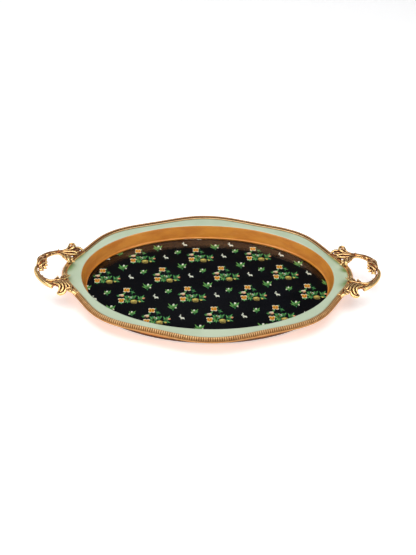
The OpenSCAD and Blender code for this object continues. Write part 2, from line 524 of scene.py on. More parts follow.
@dataclass(frozen=True)
class Outline:
    """Scalloped oval where the rim meets the moulding: its radius swells eight times."""

    half_length: float = 193 * MM
    half_width: float = 134 * MM
    scallop: float = 0.020
    quartering: float = 0.008

    def points(self, turn: Array) -> Array:
        """Points on the outline.

        Args:
            turn: Angles in radians.

        Returns:
            An (n, 2) array in metres.
        """
        swell = 1 + self.scallop * np.cos(8 * turn) + self.quartering * np.cos(4 * turn)
        return np.column_stack([
            self.half_length * np.cos(turn) * swell,
            self.half_width * np.sin(turn) * swell,
        ])

    def outward(self, turn: Array) -> Array:
        """Unit vectors out of the outline.

        Args:
            turn: Angles in radians.

        Returns:
            An (n, 2) array of directions.
        """
        step = math.radians(0.5)
        along = self.points(turn + step) - self.points(turn - step)
        across = np.column_stack([along[:, 1], -along[:, 0]])
        return across / np.linalg.norm(across, axis=1, keepdims=True)

    def offset(self, turn: Array, distance: float | Array) -> Array:
        """Points a distance outside the outline."""
        reach = np.broadcast_to(np.asarray(distance, float), turn.shape)
        return self.points(turn) + self.outward(turn) * reach[:, None]

    def evenly(self, start: float, end: float, spacing: float, reach: float = 0.0) -> tuple[Array, Array]:
        """Angles at even spacing along the outline.

        Args:
            start: First angle in radians.
            end: Last angle in radians, above start.
            spacing: Wanted distance between neighbours, in metres.
            reach: Distance outside the outline at which spacing is measured.

        Returns:
            The angles, and how far along the outline each one lies.
        """
        fine = np.linspace(start, end, FINE_POINTS)
        steps = np.linalg.norm(np.diff(self.offset(fine, reach), axis=0), axis=1)
        run = np.concatenate([[0.0], np.cumsum(steps)])
        count = max(8, round(run[-1] / spacing))
        places = np.linspace(0.0, run[-1], count + 1)
        return np.interp(places, run, fine), places


@dataclass(frozen=True)
class Oval:
    """The plain oval of the glazed panel."""

    half_length: float = 172.5 * MM
    half_width: float = 114 * MM

    def offset(self, turn: Array, margin: float) -> Array:
        """Points on the oval grown by a margin.

        Args:
            turn: Angles in radians.
            margin: How far the oval is grown, in metres.

        Returns:
            An (n, 2) array in metres.
        """
        return np.column_stack([
            (self.half_length + margin) * np.cos(turn),
            (self.half_width + margin) * np.sin(turn),
        ])

    def share(self, points: Array, margin: float = 0.0) -> Array:
        """How far out each point lies, where 1 is on the oval grown by the margin."""
        across = points[:, 1] / (self.half_width + margin)
        return np.hypot(points[:, 0] / (self.half_length + margin), across)


def smooth_path(knots: Array, steps: int) -> Array:
    """Run a smooth curve through a list of knots.

    Args:
        knots: An (n, k) array of places, with any extra columns carried along.
        steps: How many points each stretch between two knots gets.

    Returns:
        The finer list of points, first and last knot included.
    """
    padded = np.vstack([2 * knots[0] - knots[1], knots, 2 * knots[-1] - knots[-2]])
    share = (np.arange(steps) / steps)[:, None]
    pieces = []
    for before, here, there, after in zip(padded, padded[1:], padded[2:], padded[3:]):
        bend = 2 * before - 5 * here + 4 * there - after
        twist = 3 * here - before - 3 * there + after
        pieces.append(0.5 * (2 * here + (there - before) * share + bend * share**2 + twist * share**3))
    return np.vstack([*pieces, knots[-1:]])


@dataclass
class Heap:
    """Points and faces gathered from several shapes before they become one mesh."""

    points: list[Array] = field(default_factory=list)
    faces: list[Sequence[int]] = field(default_factory=list)
    slots: list[int] = field(default_factory=list)
    count: int = 0

    def add(self, points: Array, faces: Iterable[Sequence[int]], slot: int = 0) -> None:
        """Add one shape.

        Args:
            points: Its points, an (n, 3) array.
            faces: Its faces, numbered from its own first point.
            slot: The material slot of all its faces.
        """
        start = self.count
        self.points.append(points)
        added = [[corner + start for corner in face] for face in faces]
        self.faces.extend(added)
        self.slots.extend([slot] * len(added))
        self.count += len(points)

    def skin(
        self,
        rings: Array,
        closed_path: bool = False,
        slots: Sequence[int] | None = None,
        capped: bool = True,
    ) -> None:
        """Add a skin over rings of points.

        Args:
            rings: An (n, m, 3) array: n rings of m points, each ring a closed loop.
            closed_path: Whether the last ring joins the first.
            slots: A material slot for each of a ring's m strips; none means slot 0.
            capped: Whether an open path gets a face over each end.
        """
        rows, sides = rings.shape[:2]
        start = self.count
        here = np.arange(rows if closed_path else rows - 1)[:, None] * sides
        there = (np.arange(1, rows + 1 if closed_path else rows) % rows)[:, None] * sides
        side = np.arange(sides)[None, :]
        beside = (side + 1) % sides
        quads = np.stack([here + side, here + beside, there + beside, there + side], axis=-1)
        self.points.append(rings.reshape(-1, 3))
        self.faces.extend((quads.reshape(-1, 4) + start).tolist())
        strip = list(slots) if slots is not None else [0] * sides
        self.slots.extend(strip * quads.shape[0])
        if capped and not closed_path:
            last = start + (rows - 1) * sides
            self.faces.append(list(range(start + sides - 1, start - 1, -1)))
            self.faces.append(list(range(last, last + sides)))
            self.slots.extend([strip[0], strip[0]])
        self.count += rows * sides

    def build(
        self, name: str, materials: Sequence[bpy.types.Material], smooth: bool = True
    ) -> bpy.types.Object:
        """Turn everything gathered into one object.

        Args:
            name: The piece's name.
            materials: One material for each slot in use.
            smooth: Whether it is shaded smooth.

        Returns:
            The new object, linked to the scene.
        """
        mesh = bpy.data.meshes.new(name)
        mesh.from_pydata(np.vstack(self.points).tolist(), [], self.faces)
        for material in materials:
            mesh.materials.append(material)
        mesh.polygons.foreach_set("material_index", self.slots)
        mesh.polygons.foreach_set("use_smooth", [smooth] * len(mesh.polygons))
        mesh.update()
        piece = bpy.data.objects.new(name, mesh)
        bpy.context.scene.collection.objects.link(piece)
        return piece


def store(piece: bpy.types.Object, name: str, values: Array) -> None:
    """Store one value for each point of a piece's mesh."""
    layer = piece.data.attributes.new(name, "FLOAT", "POINT")
    layer.data.foreach_set("value", np.asarray(values, np.float32))


def settle(piece: bpy.types.Object, slot: str, *nodes: str) -> bpy.types.Object:
    """Fix a piece to the tray and report it.

    Args:
        piece: The finished piece.
        slot: Its material slot's name; not used.
        *nodes: The CAD nodes that it stands for.

    Returns:
        The same piece.
    """
    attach(piece, ROOT_BODY)
    if nodes:
        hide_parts(*nodes)
    count = len(piece.data.polygons)
    LOG.info("%s: %d faces, stands for %s", piece.name, count, ", ".join(nodes) or "nothing")
    return piece


def turns(count: int) -> Array:
    """Angles evenly round a full turn, the first at zero."""
    return np.arange(count) * (2 * math.pi / count)


def raised(flat: Array, height: float | Array) -> Array:
    """Give flat points a height."""
    level = np.broadcast_to(np.asarray(height, float), (len(flat),))
    return np.column_stack([flat, level])


# ---------------------------------------------------------------- frame and moulding


class Rise(Enum):
    """What a station of the frame's section is measured from."""

    WELL = "outward from the panel's oval"
    EDGE = "outward from the scalloped outline"


class Paint(IntEnum):
    """The frame's two paints, in the order of its material slots."""

    SAGE = 0
    OCHRE = 1


@dataclass(frozen=True)
class ShadePatch:
    """A patch of painted shade on the rim beside the moulding, under a handle, in millimetres."""

    side: int
    middle_y: float
    half_length: float
    reach: float
    strength: float


@dataclass
class TrayFrame:
    """Painted frame, cast in one: foot, leaning wall of the well, rounded lip and flat rim."""

    outline: Outline
    oval: Oval
    rim_z: float
    lip_margin: float = 8.0
    around: int = 900
    # painted shade on the rounded lip and in the crease next to the moulding
    lip_shade: float = 0.22
    edge_shade: float = 0.5
    edge_reach: float = 1.3
    inner_section: tuple[tuple[float, float, Paint], ...] = (
        (0.0, 4.42, Paint.OCHRE), (0.0, 5.6, Paint.OCHRE), (-0.02, 6.41, Paint.OCHRE),
        (-0.8, 6.43, Paint.OCHRE), (-0.95, 6.7, Paint.OCHRE), (-0.75, 7.15, Paint.OCHRE),
        (-0.3, 7.5, Paint.OCHRE), (0.15, 7.75, Paint.OCHRE), (0.45, 8.1, Paint.OCHRE),
        (0.75, 9, Paint.OCHRE), (1.35, 11.2, Paint.OCHRE), (2.45, 14.6, Paint.OCHRE),
        (3.55, 17.9, Paint.OCHRE), (4.5, 20.8, Paint.OCHRE), (5.15, 22.7, Paint.OCHRE),
        (5.5, 23.7, Paint.OCHRE), (5.8, 24.3, Paint.OCHRE), (6.2, 24.8, Paint.SAGE),
        (6.7, 25.15, Paint.SAGE), (7.3, 25.34, Paint.SAGE), (8.0, 25.4, Paint.SAGE),
    )
    rim_shares: tuple[float, ...] = (
        0.06, 0.14, 0.24, 0.36, 0.48, 0.58, 0.67, 0.75, 0.82, 0.87, 0.91, 0.94, 0.97, 1.0
    )
    outer_section: tuple[tuple[Rise, float, float], ...] = (
        (Rise.EDGE, 3.0, 25.4), (Rise.EDGE, 6.2, 25.4), (Rise.EDGE, 6.45, 25.15), (Rise.EDGE, 6.45, 22.5),
        (Rise.EDGE, 6.2, 22.2), (Rise.EDGE, 2.0, 22.2), (Rise.WELL, 14.0, 22.2), (Rise.WELL, 12.4, 22.0),
        (Rise.WELL, 11.2, 21.2), (Rise.WELL, 10.3, 19.6), (Rise.WELL, 9.6, 16.5), (Rise.WELL, 8.4, 10.5),
        (Rise.WELL, 7.3, 5.0), (Rise.WELL, 7.0, 4.35), (Rise.WELL, 6.7, 4.02), (Rise.WELL, 2.3, 4.02),
        (Rise.WELL, 2.3, 4.42),
    )
    # patches of painted shade where the handles' leaves lie over the rim
    shade_patches: tuple[ShadePatch, ...] = (
        ShadePatch(1, 11, 6, 8, 1.0), ShadePatch(1, -20, 10, 9, 0.8), ShadePatch(1, 34, 20, 4, 0.75),
        ShadePatch(-1, 12, 12, 8, 0.95), ShadePatch(-1, -14, 14, 6, 0.6), ShadePatch(-1, 36, 16, 4.5, 0.75),
    )

    def build(self) -> bpy.types.Object:
        """Build, paint and place the frame.

        Returns:
            The frame, which stands for its CAD node.
        """
        turn = turns(self.around)
        lip = self.oval.offset(turn, self.lip_margin * MM)
        edge = self.outline.points(turn)
        rings: list[Array] = []
        slots: list[Paint] = []
        painted_shade: list[Array] = []
        clear = np.zeros(self.around)
        for margin, height, paint in self.inner_section:
            rings.append(raised(self.oval.offset(turn, margin * MM), height * MM))
            slots.append(paint)
            # painted shade on the rounded lip where the rim turns down into the well
            painted_shade.append(clear + self.lip_shade * (paint == Paint.SAGE and margin < 7))
        for share in self.rim_shares:
            flat = lip + (edge - lip) * share
            rings.append(raised(flat, self.rim_z))
            slots.append(Paint.SAGE)
            painted_shade.append(self._rim_shade(flat, np.linalg.norm(edge - flat, axis=1)))
        for rise, distance, height in self.outer_section:
            shape = self.oval if rise is Rise.WELL else self.outline
            rings.append(raised(shape.offset(turn, distance * MM), height * MM))
            slots.append(Paint.SAGE if height > 25.3 else Paint.OCHRE)
            painted_shade.append(clear)
        heap = Heap()
        heap.skin(np.stack(rings, axis=1), closed_path=True, slots=slots)
        piece = heap.build("tray_frame", [SagePaint().material(), OchrePaint().material()])
        store(piece, "painted_shade", np.stack(painted_shade, axis=1).ravel())
        return settle(piece, "frame_paint", "rim_frame")

    def _rim_shade(self, flat: Array, inset: Array) -> Array:
        """How dark the painted shade on the rim is.

        Args:
            flat: Points on the rim.
            inset: Each point's distance in from the moulding.

        Returns:
            A value from 0 to 1 for each point.
        """
        # painted shade in the crease next to the moulding, deepened in patches under the handles
        dark = self.edge_shade * np.exp(-((inset / (self.edge_reach * MM)) ** 2))
        for patch in self.shade_patches:
            beside = np.exp(-(((flat[:, 1] / MM - patch.middle_y) / patch.half_length) ** 2))
            depth = np.exp(-((inset / (patch.reach * MM)) ** 1.4))
            dark = np.maximum(dark, patch.strength * beside * depth * (flat[:, 0] * patch.side > 0))
        return dark


@dataclass(frozen=True)
class MouldingStation:
    """One station of a moulding's section: place in mm, how much the ribs cut in, and its patina plus
    painted shade (low on the crests, for the painted highlight).
    """

    out: float
    up: float
    ribbed: float
    patina_and_shade: float


@dataclass
class EdgeMoulding:
    """Gilt edge moulding in two lengths: an inner fillet, a cove with painted shade and a ribbed roll."""

    outline: Outline
    rim_z: float
    saddle_half_angle: float = 20.6
    rib_pitch: float = 3.0
    rib_depth: float = 0.8
    rib_line: float = 4.0
    rib_fullness: float = 0.55
    # painted shade in the grooves between the ribs
    pocket_shade: float = 0.9
    pocket_spread: float = 0.7
    per_rib: int = 8
    # last column: patina plus painted shade, high in the cove and under the roll, low on the crest where the
    # painted highlight falls
    section: tuple[MouldingStation, ...] = (
        MouldingStation(0.0, -0.15, 0, 0.9), MouldingStation(0.0, 0.4, 0, 0.8),
        MouldingStation(0.1, 0.9, 0, 0.45), MouldingStation(0.45, 1.3, 0, 0.2),
        MouldingStation(0.95, 1.5, 0, 0.1), MouldingStation(1.4, 1.45, 0, 0.3),
        MouldingStation(1.75, 1.3, 0, 0.85), MouldingStation(1.95, 1.5, 0, 1),
        MouldingStation(2.0, 2.0, 0.1, 0.95), MouldingStation(2.1, 2.5, 0.5, 0.75),
        MouldingStation(2.4, 2.95, 1, 0.45), MouldingStation(2.8, 3.25, 1, 0.3),
        MouldingStation(3.3, 3.45, 1, 0.15), MouldingStation(3.8, 3.5, 1, 0.1),
        MouldingStation(4.25, 3.35, 0.8, 0.2), MouldingStation(4.5, 3.1, 0.3, 0.6),
        MouldingStation(4.75, 3.1, 0.8, 0.25), MouldingStation(5.2, 2.8, 1, 0.15),
        MouldingStation(5.8, 2.2, 1, 0.2), MouldingStation(6.4, 1.5, 1, 0.3),
        MouldingStation(6.9, 0.8, 1, 0.4), MouldingStation(7.2, 0.2, 0.7, 0.5),
        MouldingStation(7.35, -0.3, 0, 0.75), MouldingStation(7.5, -0.6, 0, 0.8),
        MouldingStation(7.8, -0.8, 0, 0.5), MouldingStation(8.05, -1.1, 0, 0.4),
        MouldingStation(8.1, -1.8, 0, 0.5), MouldingStation(8.05, -2.6, 0, 0.6),
        MouldingStation(7.85, -3.0, 0, 0.65), MouldingStation(7.4, -3.2, 0, 0.7),
        MouldingStation(6.4, -3.2, 0, 0.8), MouldingStation(6.4, -0.15, 0, 0.8),
    )
    gilding: Gilding = Gilding(
        "copper_gilding", tint(238, 204, 152), tint(196, 140, 80), tint(104, 64, 26), 0.34, 1.1
    )

    def build(self) -> list[bpy.types.Object]:
        """Build and gild both lengths.

        Returns:
            The far length and the near one.
        """
        material = self.gilding.material()
        half = math.radians(self.saddle_half_angle)
        back = self._length("moulding_far", "moulding_back", half, math.pi - half, material)
        front = self._length("moulding_near", "moulding_front", math.pi + half, 2 * math.pi - half, material)
        return [back, front]

    def _length(
        self, name: str, node: str, start: float, end: float, material: bpy.types.Material
    ) -> bpy.types.Object:
        """Sweep one length of the moulding.

        Args:
            name: The piece's name.
            node: The CAD node that it stands for.
            start: Outline angle of its first end.
            end: Outline angle of its other end.
            material: Its gilding.

        Returns:
            The finished length.
        """
        pitch = self.rib_pitch * MM
        turn, run = self.outline.evenly(start, end, pitch / self.per_rib, self.rib_line * MM)
        ribs = np.abs(np.sin(np.pi * run / pitch)) ** self.rib_fullness
        cut = 1 - ribs
        outs = np.array([s.out for s in self.section])
        ups = np.array([s.up for s in self.section])
        along = np.column_stack([np.gradient(outs), np.gradient(ups)])
        normal = np.column_stack([-along[:, 1], along[:, 0]])
        normal /= np.linalg.norm(normal, axis=1, keepdims=True)
        base = self.outline.points(turn)
        outward = self.outline.outward(turn)
        rings = []
        patina_and_shade_rings = []
        for station, (lean_out, lean_up) in zip(self.section, normal):
            sink = self.rib_depth * station.ribbed * cut
            reach = (station.out - sink * lean_out) * MM
            height = self.rim_z + (station.up - sink * lean_up) * MM
            rings.append(raised(base + outward * reach[:, None], height))
            # painted shade deepening into each groove between the ribs
            pocket = self.pocket_shade * station.ribbed * cut**self.pocket_spread
            patina_and_shade_rings.append(np.clip(station.patina_and_shade + pocket, 0, 1))
        heap = Heap()
        heap.skin(np.stack(rings, axis=1))
        piece = heap.build(name, [material])
        store(piece, "patina_and_shade", np.stack(patina_and_shade_rings, axis=1).ravel())
        return settle(piece, "moulding_gilt", node)


# ---------------------------------------------------------------- cast handles


FLUTE_BED = 0.8
FLUTE_RISE = 0.24
REED_SIDE = 2.0
REED_HALF_ANGLE = 0.5
REED_OPENS = 0.45
REED_OPENING = 0.4
LEAST_RADIUS = 0.25
DOME_ANGLES = (35, 62, 82)
DOME_LENGTH = 0.8
REED_DOME_LENGTH = 0.12


@dataclass(frozen=True)
class Strand:
    """One modelled strand of a handle: a leaf, ribbon, scroll or rod.

    Each knot is x, y, height above the rim and radius, in millimetres. Flutes are grooves along it,
    twist is how many turns they make, squash flattens it, and reed cuts a channel towards its last knot.
    """

    name: str
    knots: tuple[tuple[float, float, float, float], ...]
    flutes: int = 0
    twist: float = 0.0
    squash: float = 1.0
    reed: float = 0.0

    def rings(self, sides: int = 28, steps: int = 7) -> Array:
        """Rings of points round the strand, closed by rounded ends.

        Args:
            sides: Points in each ring.
            steps: Rings between two knots.

        Returns:
            An (n, sides, 3) array in metres.
        """
        fine = smooth_path(np.array(self.knots, float), steps)
        middle = fine[:, :3]
        radius = np.maximum(fine[:, 3], LEAST_RADIUS)
        ahead = np.gradient(middle, axis=0)
        ahead /= np.linalg.norm(ahead, axis=1, keepdims=True)
        side = np.cross([0.0, 0.0, 1.0], ahead)
        side /= np.linalg.norm(side, axis=1, keepdims=True)
        up = np.cross(ahead, side)
        share = np.linspace(0, 1, len(fine))
        angle = turns(sides)[None, :]
        shape = radius[:, None] * np.ones_like(angle)
        if self.flutes:
            wave = np.abs(np.cos(self.flutes / 2 * (angle + 2 * math.pi * self.twist * share[:, None])))
            shape = shape * (FLUTE_BED + FLUTE_RISE * np.sqrt(wave))
        if self.reed:
            opened = np.clip((share - REED_OPENS) / REED_OPENING, 0, 1)[:, None]
            channel = np.exp(-(((angle - REED_SIDE) / REED_HALF_ANGLE) ** 2)) * opened
            shape = shape * (1 - self.reed * channel)
        across = shape * np.cos(angle)
        above = shape * np.sin(angle) * self.squash
        rings = middle[:, None] + side[:, None] * across[..., None] + up[:, None] * above[..., None]
        return self._rounded(rings, middle, ahead, radius) * MM

    def _rounded(self, rings: Array, middle: Array, ahead: Array, radius: Array) -> Array:
        """Close both ends with small domes.

        Args:
            rings: The strand's rings, in millimetres.
            middle: The middle of each ring.
            ahead: The strand's direction at each ring.
            radius: Its radius at each ring.

        Returns:
            The rings with a few smaller ones before and after.
        """
        start = []
        end = []
        for angle in DOME_ANGLES:
            shrink = math.cos(math.radians(angle))
            push = math.sin(math.radians(angle)) * DOME_LENGTH
            start.insert(0, middle[0] + (rings[0] - middle[0]) * shrink - ahead[0] * radius[0] * push)
            reach = REED_DOME_LENGTH if self.reed else push
            end.append(middle[-1] + (rings[-1] - middle[-1]) * shrink + ahead[-1] * radius[-1] * reach)
        return np.concatenate([np.array(start), rings, np.array(end)])


HANDLE_STRANDS: tuple[Strand, ...] = (
    # far arm, from the saddle to the knot
    Strand("arm core", (
        (204, 36.5, 4.6, 3.6), (210, 35.5, 6.6, 3.2), (216, 35, 8.6, 2.5), (222, 32.6, 9.5, 2.4),
        (228.5, 28.8, 9.9, 2.5), (234, 23.5, 10.2, 3), (237, 18, 10.4, 3.6),
    ), flutes=4, twist=0.2),
    Strand("arm ridge", (
        (205, 38, 9.2, 1.4), (213.5, 37.6, 9.8, 1.3), (222.6, 34.8, 10.4, 1.1), (228, 31.6, 10.9, 1.2),
        (233.5, 26.6, 11.4, 1.3), (236.5, 21.5, 12.2, 1.4),
    )),
    Strand("arm under edge", (
        (208.5, 31, 8, 1.5), (215, 31.6, 8.6, 1.2), (221.8, 29, 9, 1.2), (226.8, 25.4, 9.4, 1.5),
        (230.4, 20.6, 9.6, 1.4),
    )),
    Strand("arm bead", ((222.4, 30.6, 10, 1.3), (223, 28.4, 10, 1.2))),
    Strand("arm swelling", ((224.5, 29.5, 10.2, 1), (228, 26.5, 11, 1.6), (231, 23.6, 10.6, 1))),
    Strand("thorn", ((211.6, 37, 9.6, 1.4), (213.6, 38.6, 10, 1.3), (214.5, 42, 10.4, 0.35))),
    # leaf-wrapped knot
    Strand("knot core", (
        (237, 21.5, 10, 3.4), (236, 16, 10.4, 4.4), (235.3, 10, 10.6, 4.8), (235, 4, 10.6, 4.6),
        (235.6, -2, 10.6, 3.2),
    )),
    Strand("knot wrap 1", (
        (232.5, 20, 11.6, 1.2), (236.5, 15.2, 14, 1.5), (239.6, 8, 13.2, 1.5), (240.4, 2, 12, 1.2),
    ), squash=0.8),
    Strand("knot wrap 2", (
        (229.6, 16.4, 11, 1.1), (233.6, 10.4, 14.2, 1.5), (236.8, 3.4, 14.2, 1.5), (238.2, -1.6, 12.4, 1.1),
    ), squash=0.8),
    Strand("knot wrap 3", (
        (227.6, 8.4, 10.6, 1.1), (231, 4, 13.2, 1.5), (233.6, -0.4, 13.4, 1.4), (236, -3.2, 12.2, 1),
    ), squash=0.8),
    Strand("knot wrap 4", (
        (236.8, 21.6, 12.2, 1.1), (239.8, 17, 12.6, 1.3), (240.9, 11.6, 12, 1.1),
    ), squash=0.8),
    Strand("knot lobe 1", ((233.4, 19, 9.6, 2.6), (230, 18, 9.4, 2), (228.8, 17, 9.2, 1.2))),
    Strand("knot lobe 2", ((233, 13, 9.6, 2.8), (229, 12, 9.2, 2.2), (227.6, 11, 9, 1.3))),
    Strand("knot lobe 3", ((232.6, 6.4, 9.6, 2.8), (228, 4.6, 9.2, 2.2), (226.6, 3.8, 9, 1.4))),
    Strand("knot lobe 4", ((232.6, 0, 9.6, 2.6), (228.8, -2.4, 9.2, 2), (227.2, -3.6, 9, 1.2))),
    Strand("knot lobe 5", ((234, -2, 9.2, 2), (231.6, -6.6, 8.8, 1.4), (231, -8.2, 8.6, 0.9))),
    Strand("knot scroll", (
        (238.4, -2.2, 11.4, 1.3), (235.6, -2, 12, 1.4), (232.8, -4, 11.4, 1.4), (232.6, -7.4, 10.4, 1.5),
        (235, -9.2, 10, 1.4), (237, -7.4, 10.6, 1),
    )),
    Strand("knot eye", ((234.9, -5.4, 11.2, 1.6), (235.1, -5.6, 12.2, 1.2))),
    # open reed that carries the grip back to the near arm
    Strand("reed", (
        (238.6, 1.5, 11, 1.8), (240.6, -3.6, 11.2, 2.3), (240.9, -9, 11, 2.6), (239.4, -15.5, 10.6, 2.9),
        (236, -22.5, 10, 3.2), (231, -29.2, 9.4, 3.4), (225, -35.2, 8.6, 3.5), (219, -39.2, 7.8, 3.5),
        (214.6, -41.8, 7, 3.4),
    ), reed=0.62),
    Strand("reed lining", (
        (236.6, -11, 9.6, 1), (234.6, -17, 9.2, 1.2), (231, -22, 8.8, 1.4), (225.6, -26.4, 8, 1.6),
        (219, -28.6, 7.2, 1.6),
    )),
    Strand("reed tooth", ((231.6, -21.4, 9, 1.3), (229.6, -19.2, 8.8, 0.6))),
    # leaves and bulbs of the far root
    Strand("leaf upper edge", (
        (186.8, 34.6, 7.2, 0.5), (190.6, 37, 8.4, 1.3), (195, 37.2, 9, 1.5), (200.5, 36, 9.3, 1.5),
        (206.5, 35.8, 9.5, 1.5), (213, 37, 9.6, 1.2),
    )),
    Strand("leaf lower edge", (
        (186.8, 34.4, 7.2, 0.5), (191, 32.8, 8, 1.3), (195.6, 31.2, 8.4, 1.5), (200.6, 31, 8.8, 1.5),
        (206, 32.8, 9.2, 1.5), (212, 35.6, 9.4, 1.2),
    )),
    Strand("leaf body", ((190, 34.6, 6, 1.8), (196, 34, 6.6, 2.8), (202, 34, 6.8, 3), (208, 35, 7.4, 2.6))),
    Strand("rib beside leaf", (
        (190.6, 39.4, 7.4, 1.2), (195.6, 39.6, 9.2, 1.5), (201, 38.8, 9.9, 1.5), (208, 38.2, 10, 1.3),
    )),
    Strand("bulb 1", ((209, 32.6, 8.4, 1.6), (207.4, 27.8, 8.2, 1.8), (205.4, 24.2, 7.4, 1.4))),
    Strand("bulb 2", ((205.6, 31, 8.2, 1.7), (204, 25.8, 8.4, 1.9), (202.4, 20.8, 7.6, 1.6))),
    Strand("bulb 3", (
        (201.6, 29.6, 8, 1.8), (199.4, 24, 8.6, 2.4), (198, 18.4, 8, 2.7), (198, 15.6, 6.6, 2),
    )),
    Strand("bulb 4", ((198.4, 28.6, 7.6, 1.7), (195.4, 23.4, 8, 1.9), (193.8, 19.2, 7.4, 1.7))),
    Strand("bulb tip", ((194.2, 21.4, 6.8, 1.5), (191.8, 17.4, 6.8, 1.2), (188.4, 15.4, 6.2, 0.4))),
    Strand("far body", ((205, 34, 4, 4.2), (199.5, 27.5, 4, 4.4), (197, 20, 3.8, 3.2))),
    # standing scroll and dark hook behind it
    Strand("scroll back", (
        (206, 38.6, 8.8, 1.6), (199, 41.4, 9.4, 1.7), (194, 44.4, 10.2, 1.7), (191.8, 48, 10.8, 1.7),
        (193, 51.8, 11.4, 1.6), (196.4, 53.6, 11.4, 1.6), (199.2, 51.8, 11.2, 1.5), (199.6, 48.8, 11, 1.3),
        (197.6, 47, 10.8, 1),
    )),
    Strand("scroll eye", ((195.8, 49.4, 10.8, 1.6), (196.1, 49.2, 11.6, 1.2))),
    Strand("scroll front", (
        (211, 38.4, 9.2, 1.3), (204.6, 40.2, 9.8, 1.5), (201, 43.6, 10.4, 1.6), (200.4, 47.6, 10.8, 1.5),
    )),
    Strand("scroll web", ((203, 40, 7, 2.6), (198.4, 43.6, 8, 2.6), (196, 47.6, 9.2, 2.4))),
    Strand("hook", (
        (198, 41.6, 7.4, 2), (193.4, 45.2, 7.8, 2.1), (189.6, 48.4, 7.6, 2.1), (185.6, 49.4, 6.8, 2),
        (182.2, 48, 5.4, 1.8), (180.4, 46.4, 4, 1.3),
    ), flutes=2),
    Strand("hook web", ((197, 38, 5.2, 2.6), (190, 41.6, 4.6, 2.2), (185, 44.2, 4, 1.6))),
    # near arm and its inward tips
    Strand("near arm", (
        (229, -27.4, 8.2, 2), (222.6, -29.4, 7.4, 2.3), (216.6, -29, 6.8, 2.5), (210.6, -27.4, 6.6, 2.5),
        (204.6, -25, 6.4, 2.4), (200, -22, 6.2, 2), (196, -17.4, 6, 1.5), (192.6, -13.6, 5.6, 0.5),
    ), flutes=4, twist=0.2),
    Strand("inward tip 1", ((212, -26, 7, 2.2), (209.6, -22.4, 7, 2.2), (210.4, -17.4, 6.8, 0.7))),
    Strand("inward tip 2", ((205.4, -24.6, 6.8, 1.6), (204.6, -20.6, 7, 1.3), (205.6, -17.4, 6.8, 0.5))),
    Strand("inward tip 3", ((202.4, -22.4, 7, 1.5), (202.8, -18.4, 7.2, 1.3), (203.4, -14.8, 6.8, 0.5))),
    Strand("inward tip 4", ((200, -20.4, 6.8, 1.6), (200.4, -15, 7.2, 1.4), (201.4, -10.4, 6.8, 0.5))),
    Strand("inward tip 5", ((196.6, -17, 6.2, 1.3), (196.6, -13.4, 6.2, 1), (198, -10.6, 5.8, 0.4))),
    # curling fan and foot of the near root
    Strand("curl 1", (
        (209, -31, 7.6, 1.6), (203.4, -31.8, 8.6, 1.5), (199.2, -35.4, 8.8, 1.5), (196.5, -39.8, 8, 1.4),
        (195.6, -43.8, 6.6, 1.4), (196.6, -47.4, 5, 1.4), (198.4, -49.8, 3.6, 1.5),
    )),
    Strand("curl 2", (
        (213, -32.4, 7.6, 1.6), (206.8, -33.8, 8.8, 1.6), (202.6, -37.4, 9, 1.5), (200.2, -41.8, 7.8, 1.4),
        (200.2, -45.4, 6.2, 1.4), (201.8, -48.8, 4.4, 1.4),
    )),
    Strand("curl 3", (
        (217, -34.6, 7, 1.7), (210.8, -35.8, 8.2, 1.7), (206.8, -38.4, 8.4, 1.6), (204.6, -41.6, 7.4, 1.5),
        (205, -44.8, 6, 1.4), (205.6, -48, 4.2, 1.4),
    )),
    Strand("curl 4", (
        (205, -29.6, 7.8, 1.4), (199.8, -32, 8.6, 1.4), (195.6, -35.4, 8.2, 1.4), (192, -39.2, 7.2, 1.2),
        (190.4, -41.6, 6.2, 0.9),
    )),
    Strand("curl 5", (
        (201.4, -28, 7.2, 1.4), (196, -31.4, 7.6, 1.4), (191.6, -36, 6.6, 1.3), (188.6, -39.6, 5.4, 0.9),
    )),
    Strand("fan body", (
        (211, -30, 5.2, 3.2), (204, -34, 5.4, 3.6), (200, -40, 4.6, 3.4), (200.6, -46, 3.2, 2.4),
    )),
    Strand("fan bridge", ((219, -35, 6.6, 2.2), (214, -35.6, 6.2, 2.4), (208, -36, 5.6, 2.6))),
    Strand("foot", (
        (205.6, -48.6, 3.4, 1.3), (207, -51, 2.8, 1.5), (203.8, -53, 2.6, 2), (200.2, -52, 2.8, 2.1),
        (197.4, -49.4, 3.6, 1.9), (195.8, -46, 5, 1.6),
    )),
    # small scroll and knuckle that end the casting on the moulding
    Strand("end scroll", (
        (196, -42.4, 5.8, 1.5), (194.2, -44.8, 6.6, 1.5), (191, -44.4, 6.8, 1.4), (188.4, -46.2, 6.6, 1.4),
        (188.6, -49.4, 6.2, 1.4), (191.2, -50.6, 6, 1.3), (193, -48.6, 6.2, 1.1),
    )),
    Strand("end scroll eye", ((190.7, -47.5, 6, 1.5), (190.6, -47.4, 6.8, 1))),
    Strand("end knuckle", ((189.4, -49.4, 5.2, 1.8), (185.6, -51.6, 5.4, 2.1), (182, -54.2, 4.6, 1.5))),
    Strand("near body", (
        (208, -27, 4.2, 3.2), (201, -29.6, 4.2, 4.2), (195.4, -36, 4, 4.2), (190.4, -43.4, 3.6, 3.2),
    )),
    # solid metal behind the leaves
    Strand("foot body", ((200, -43, 4.4, 3), (201.8, -47, 3.4, 2.9), (203.4, -49.8, 2.8, 2.2))),
    Strand("hook fill", ((193.6, 42, 6.2, 1.9), (189.4, 44.8, 6, 1.8), (185.6, 46.4, 5, 1.4))),
    Strand("leaf fill", ((203, 30, 5.6, 2.4), (198, 27.6, 5.2, 2.5), (193.4, 26.6, 4.4, 1.9))),
    Strand("curl fill", ((206, -38, 5.6, 2.4), (204, -42, 4.8, 2.4), (203.6, -46, 3.6, 2))),
)


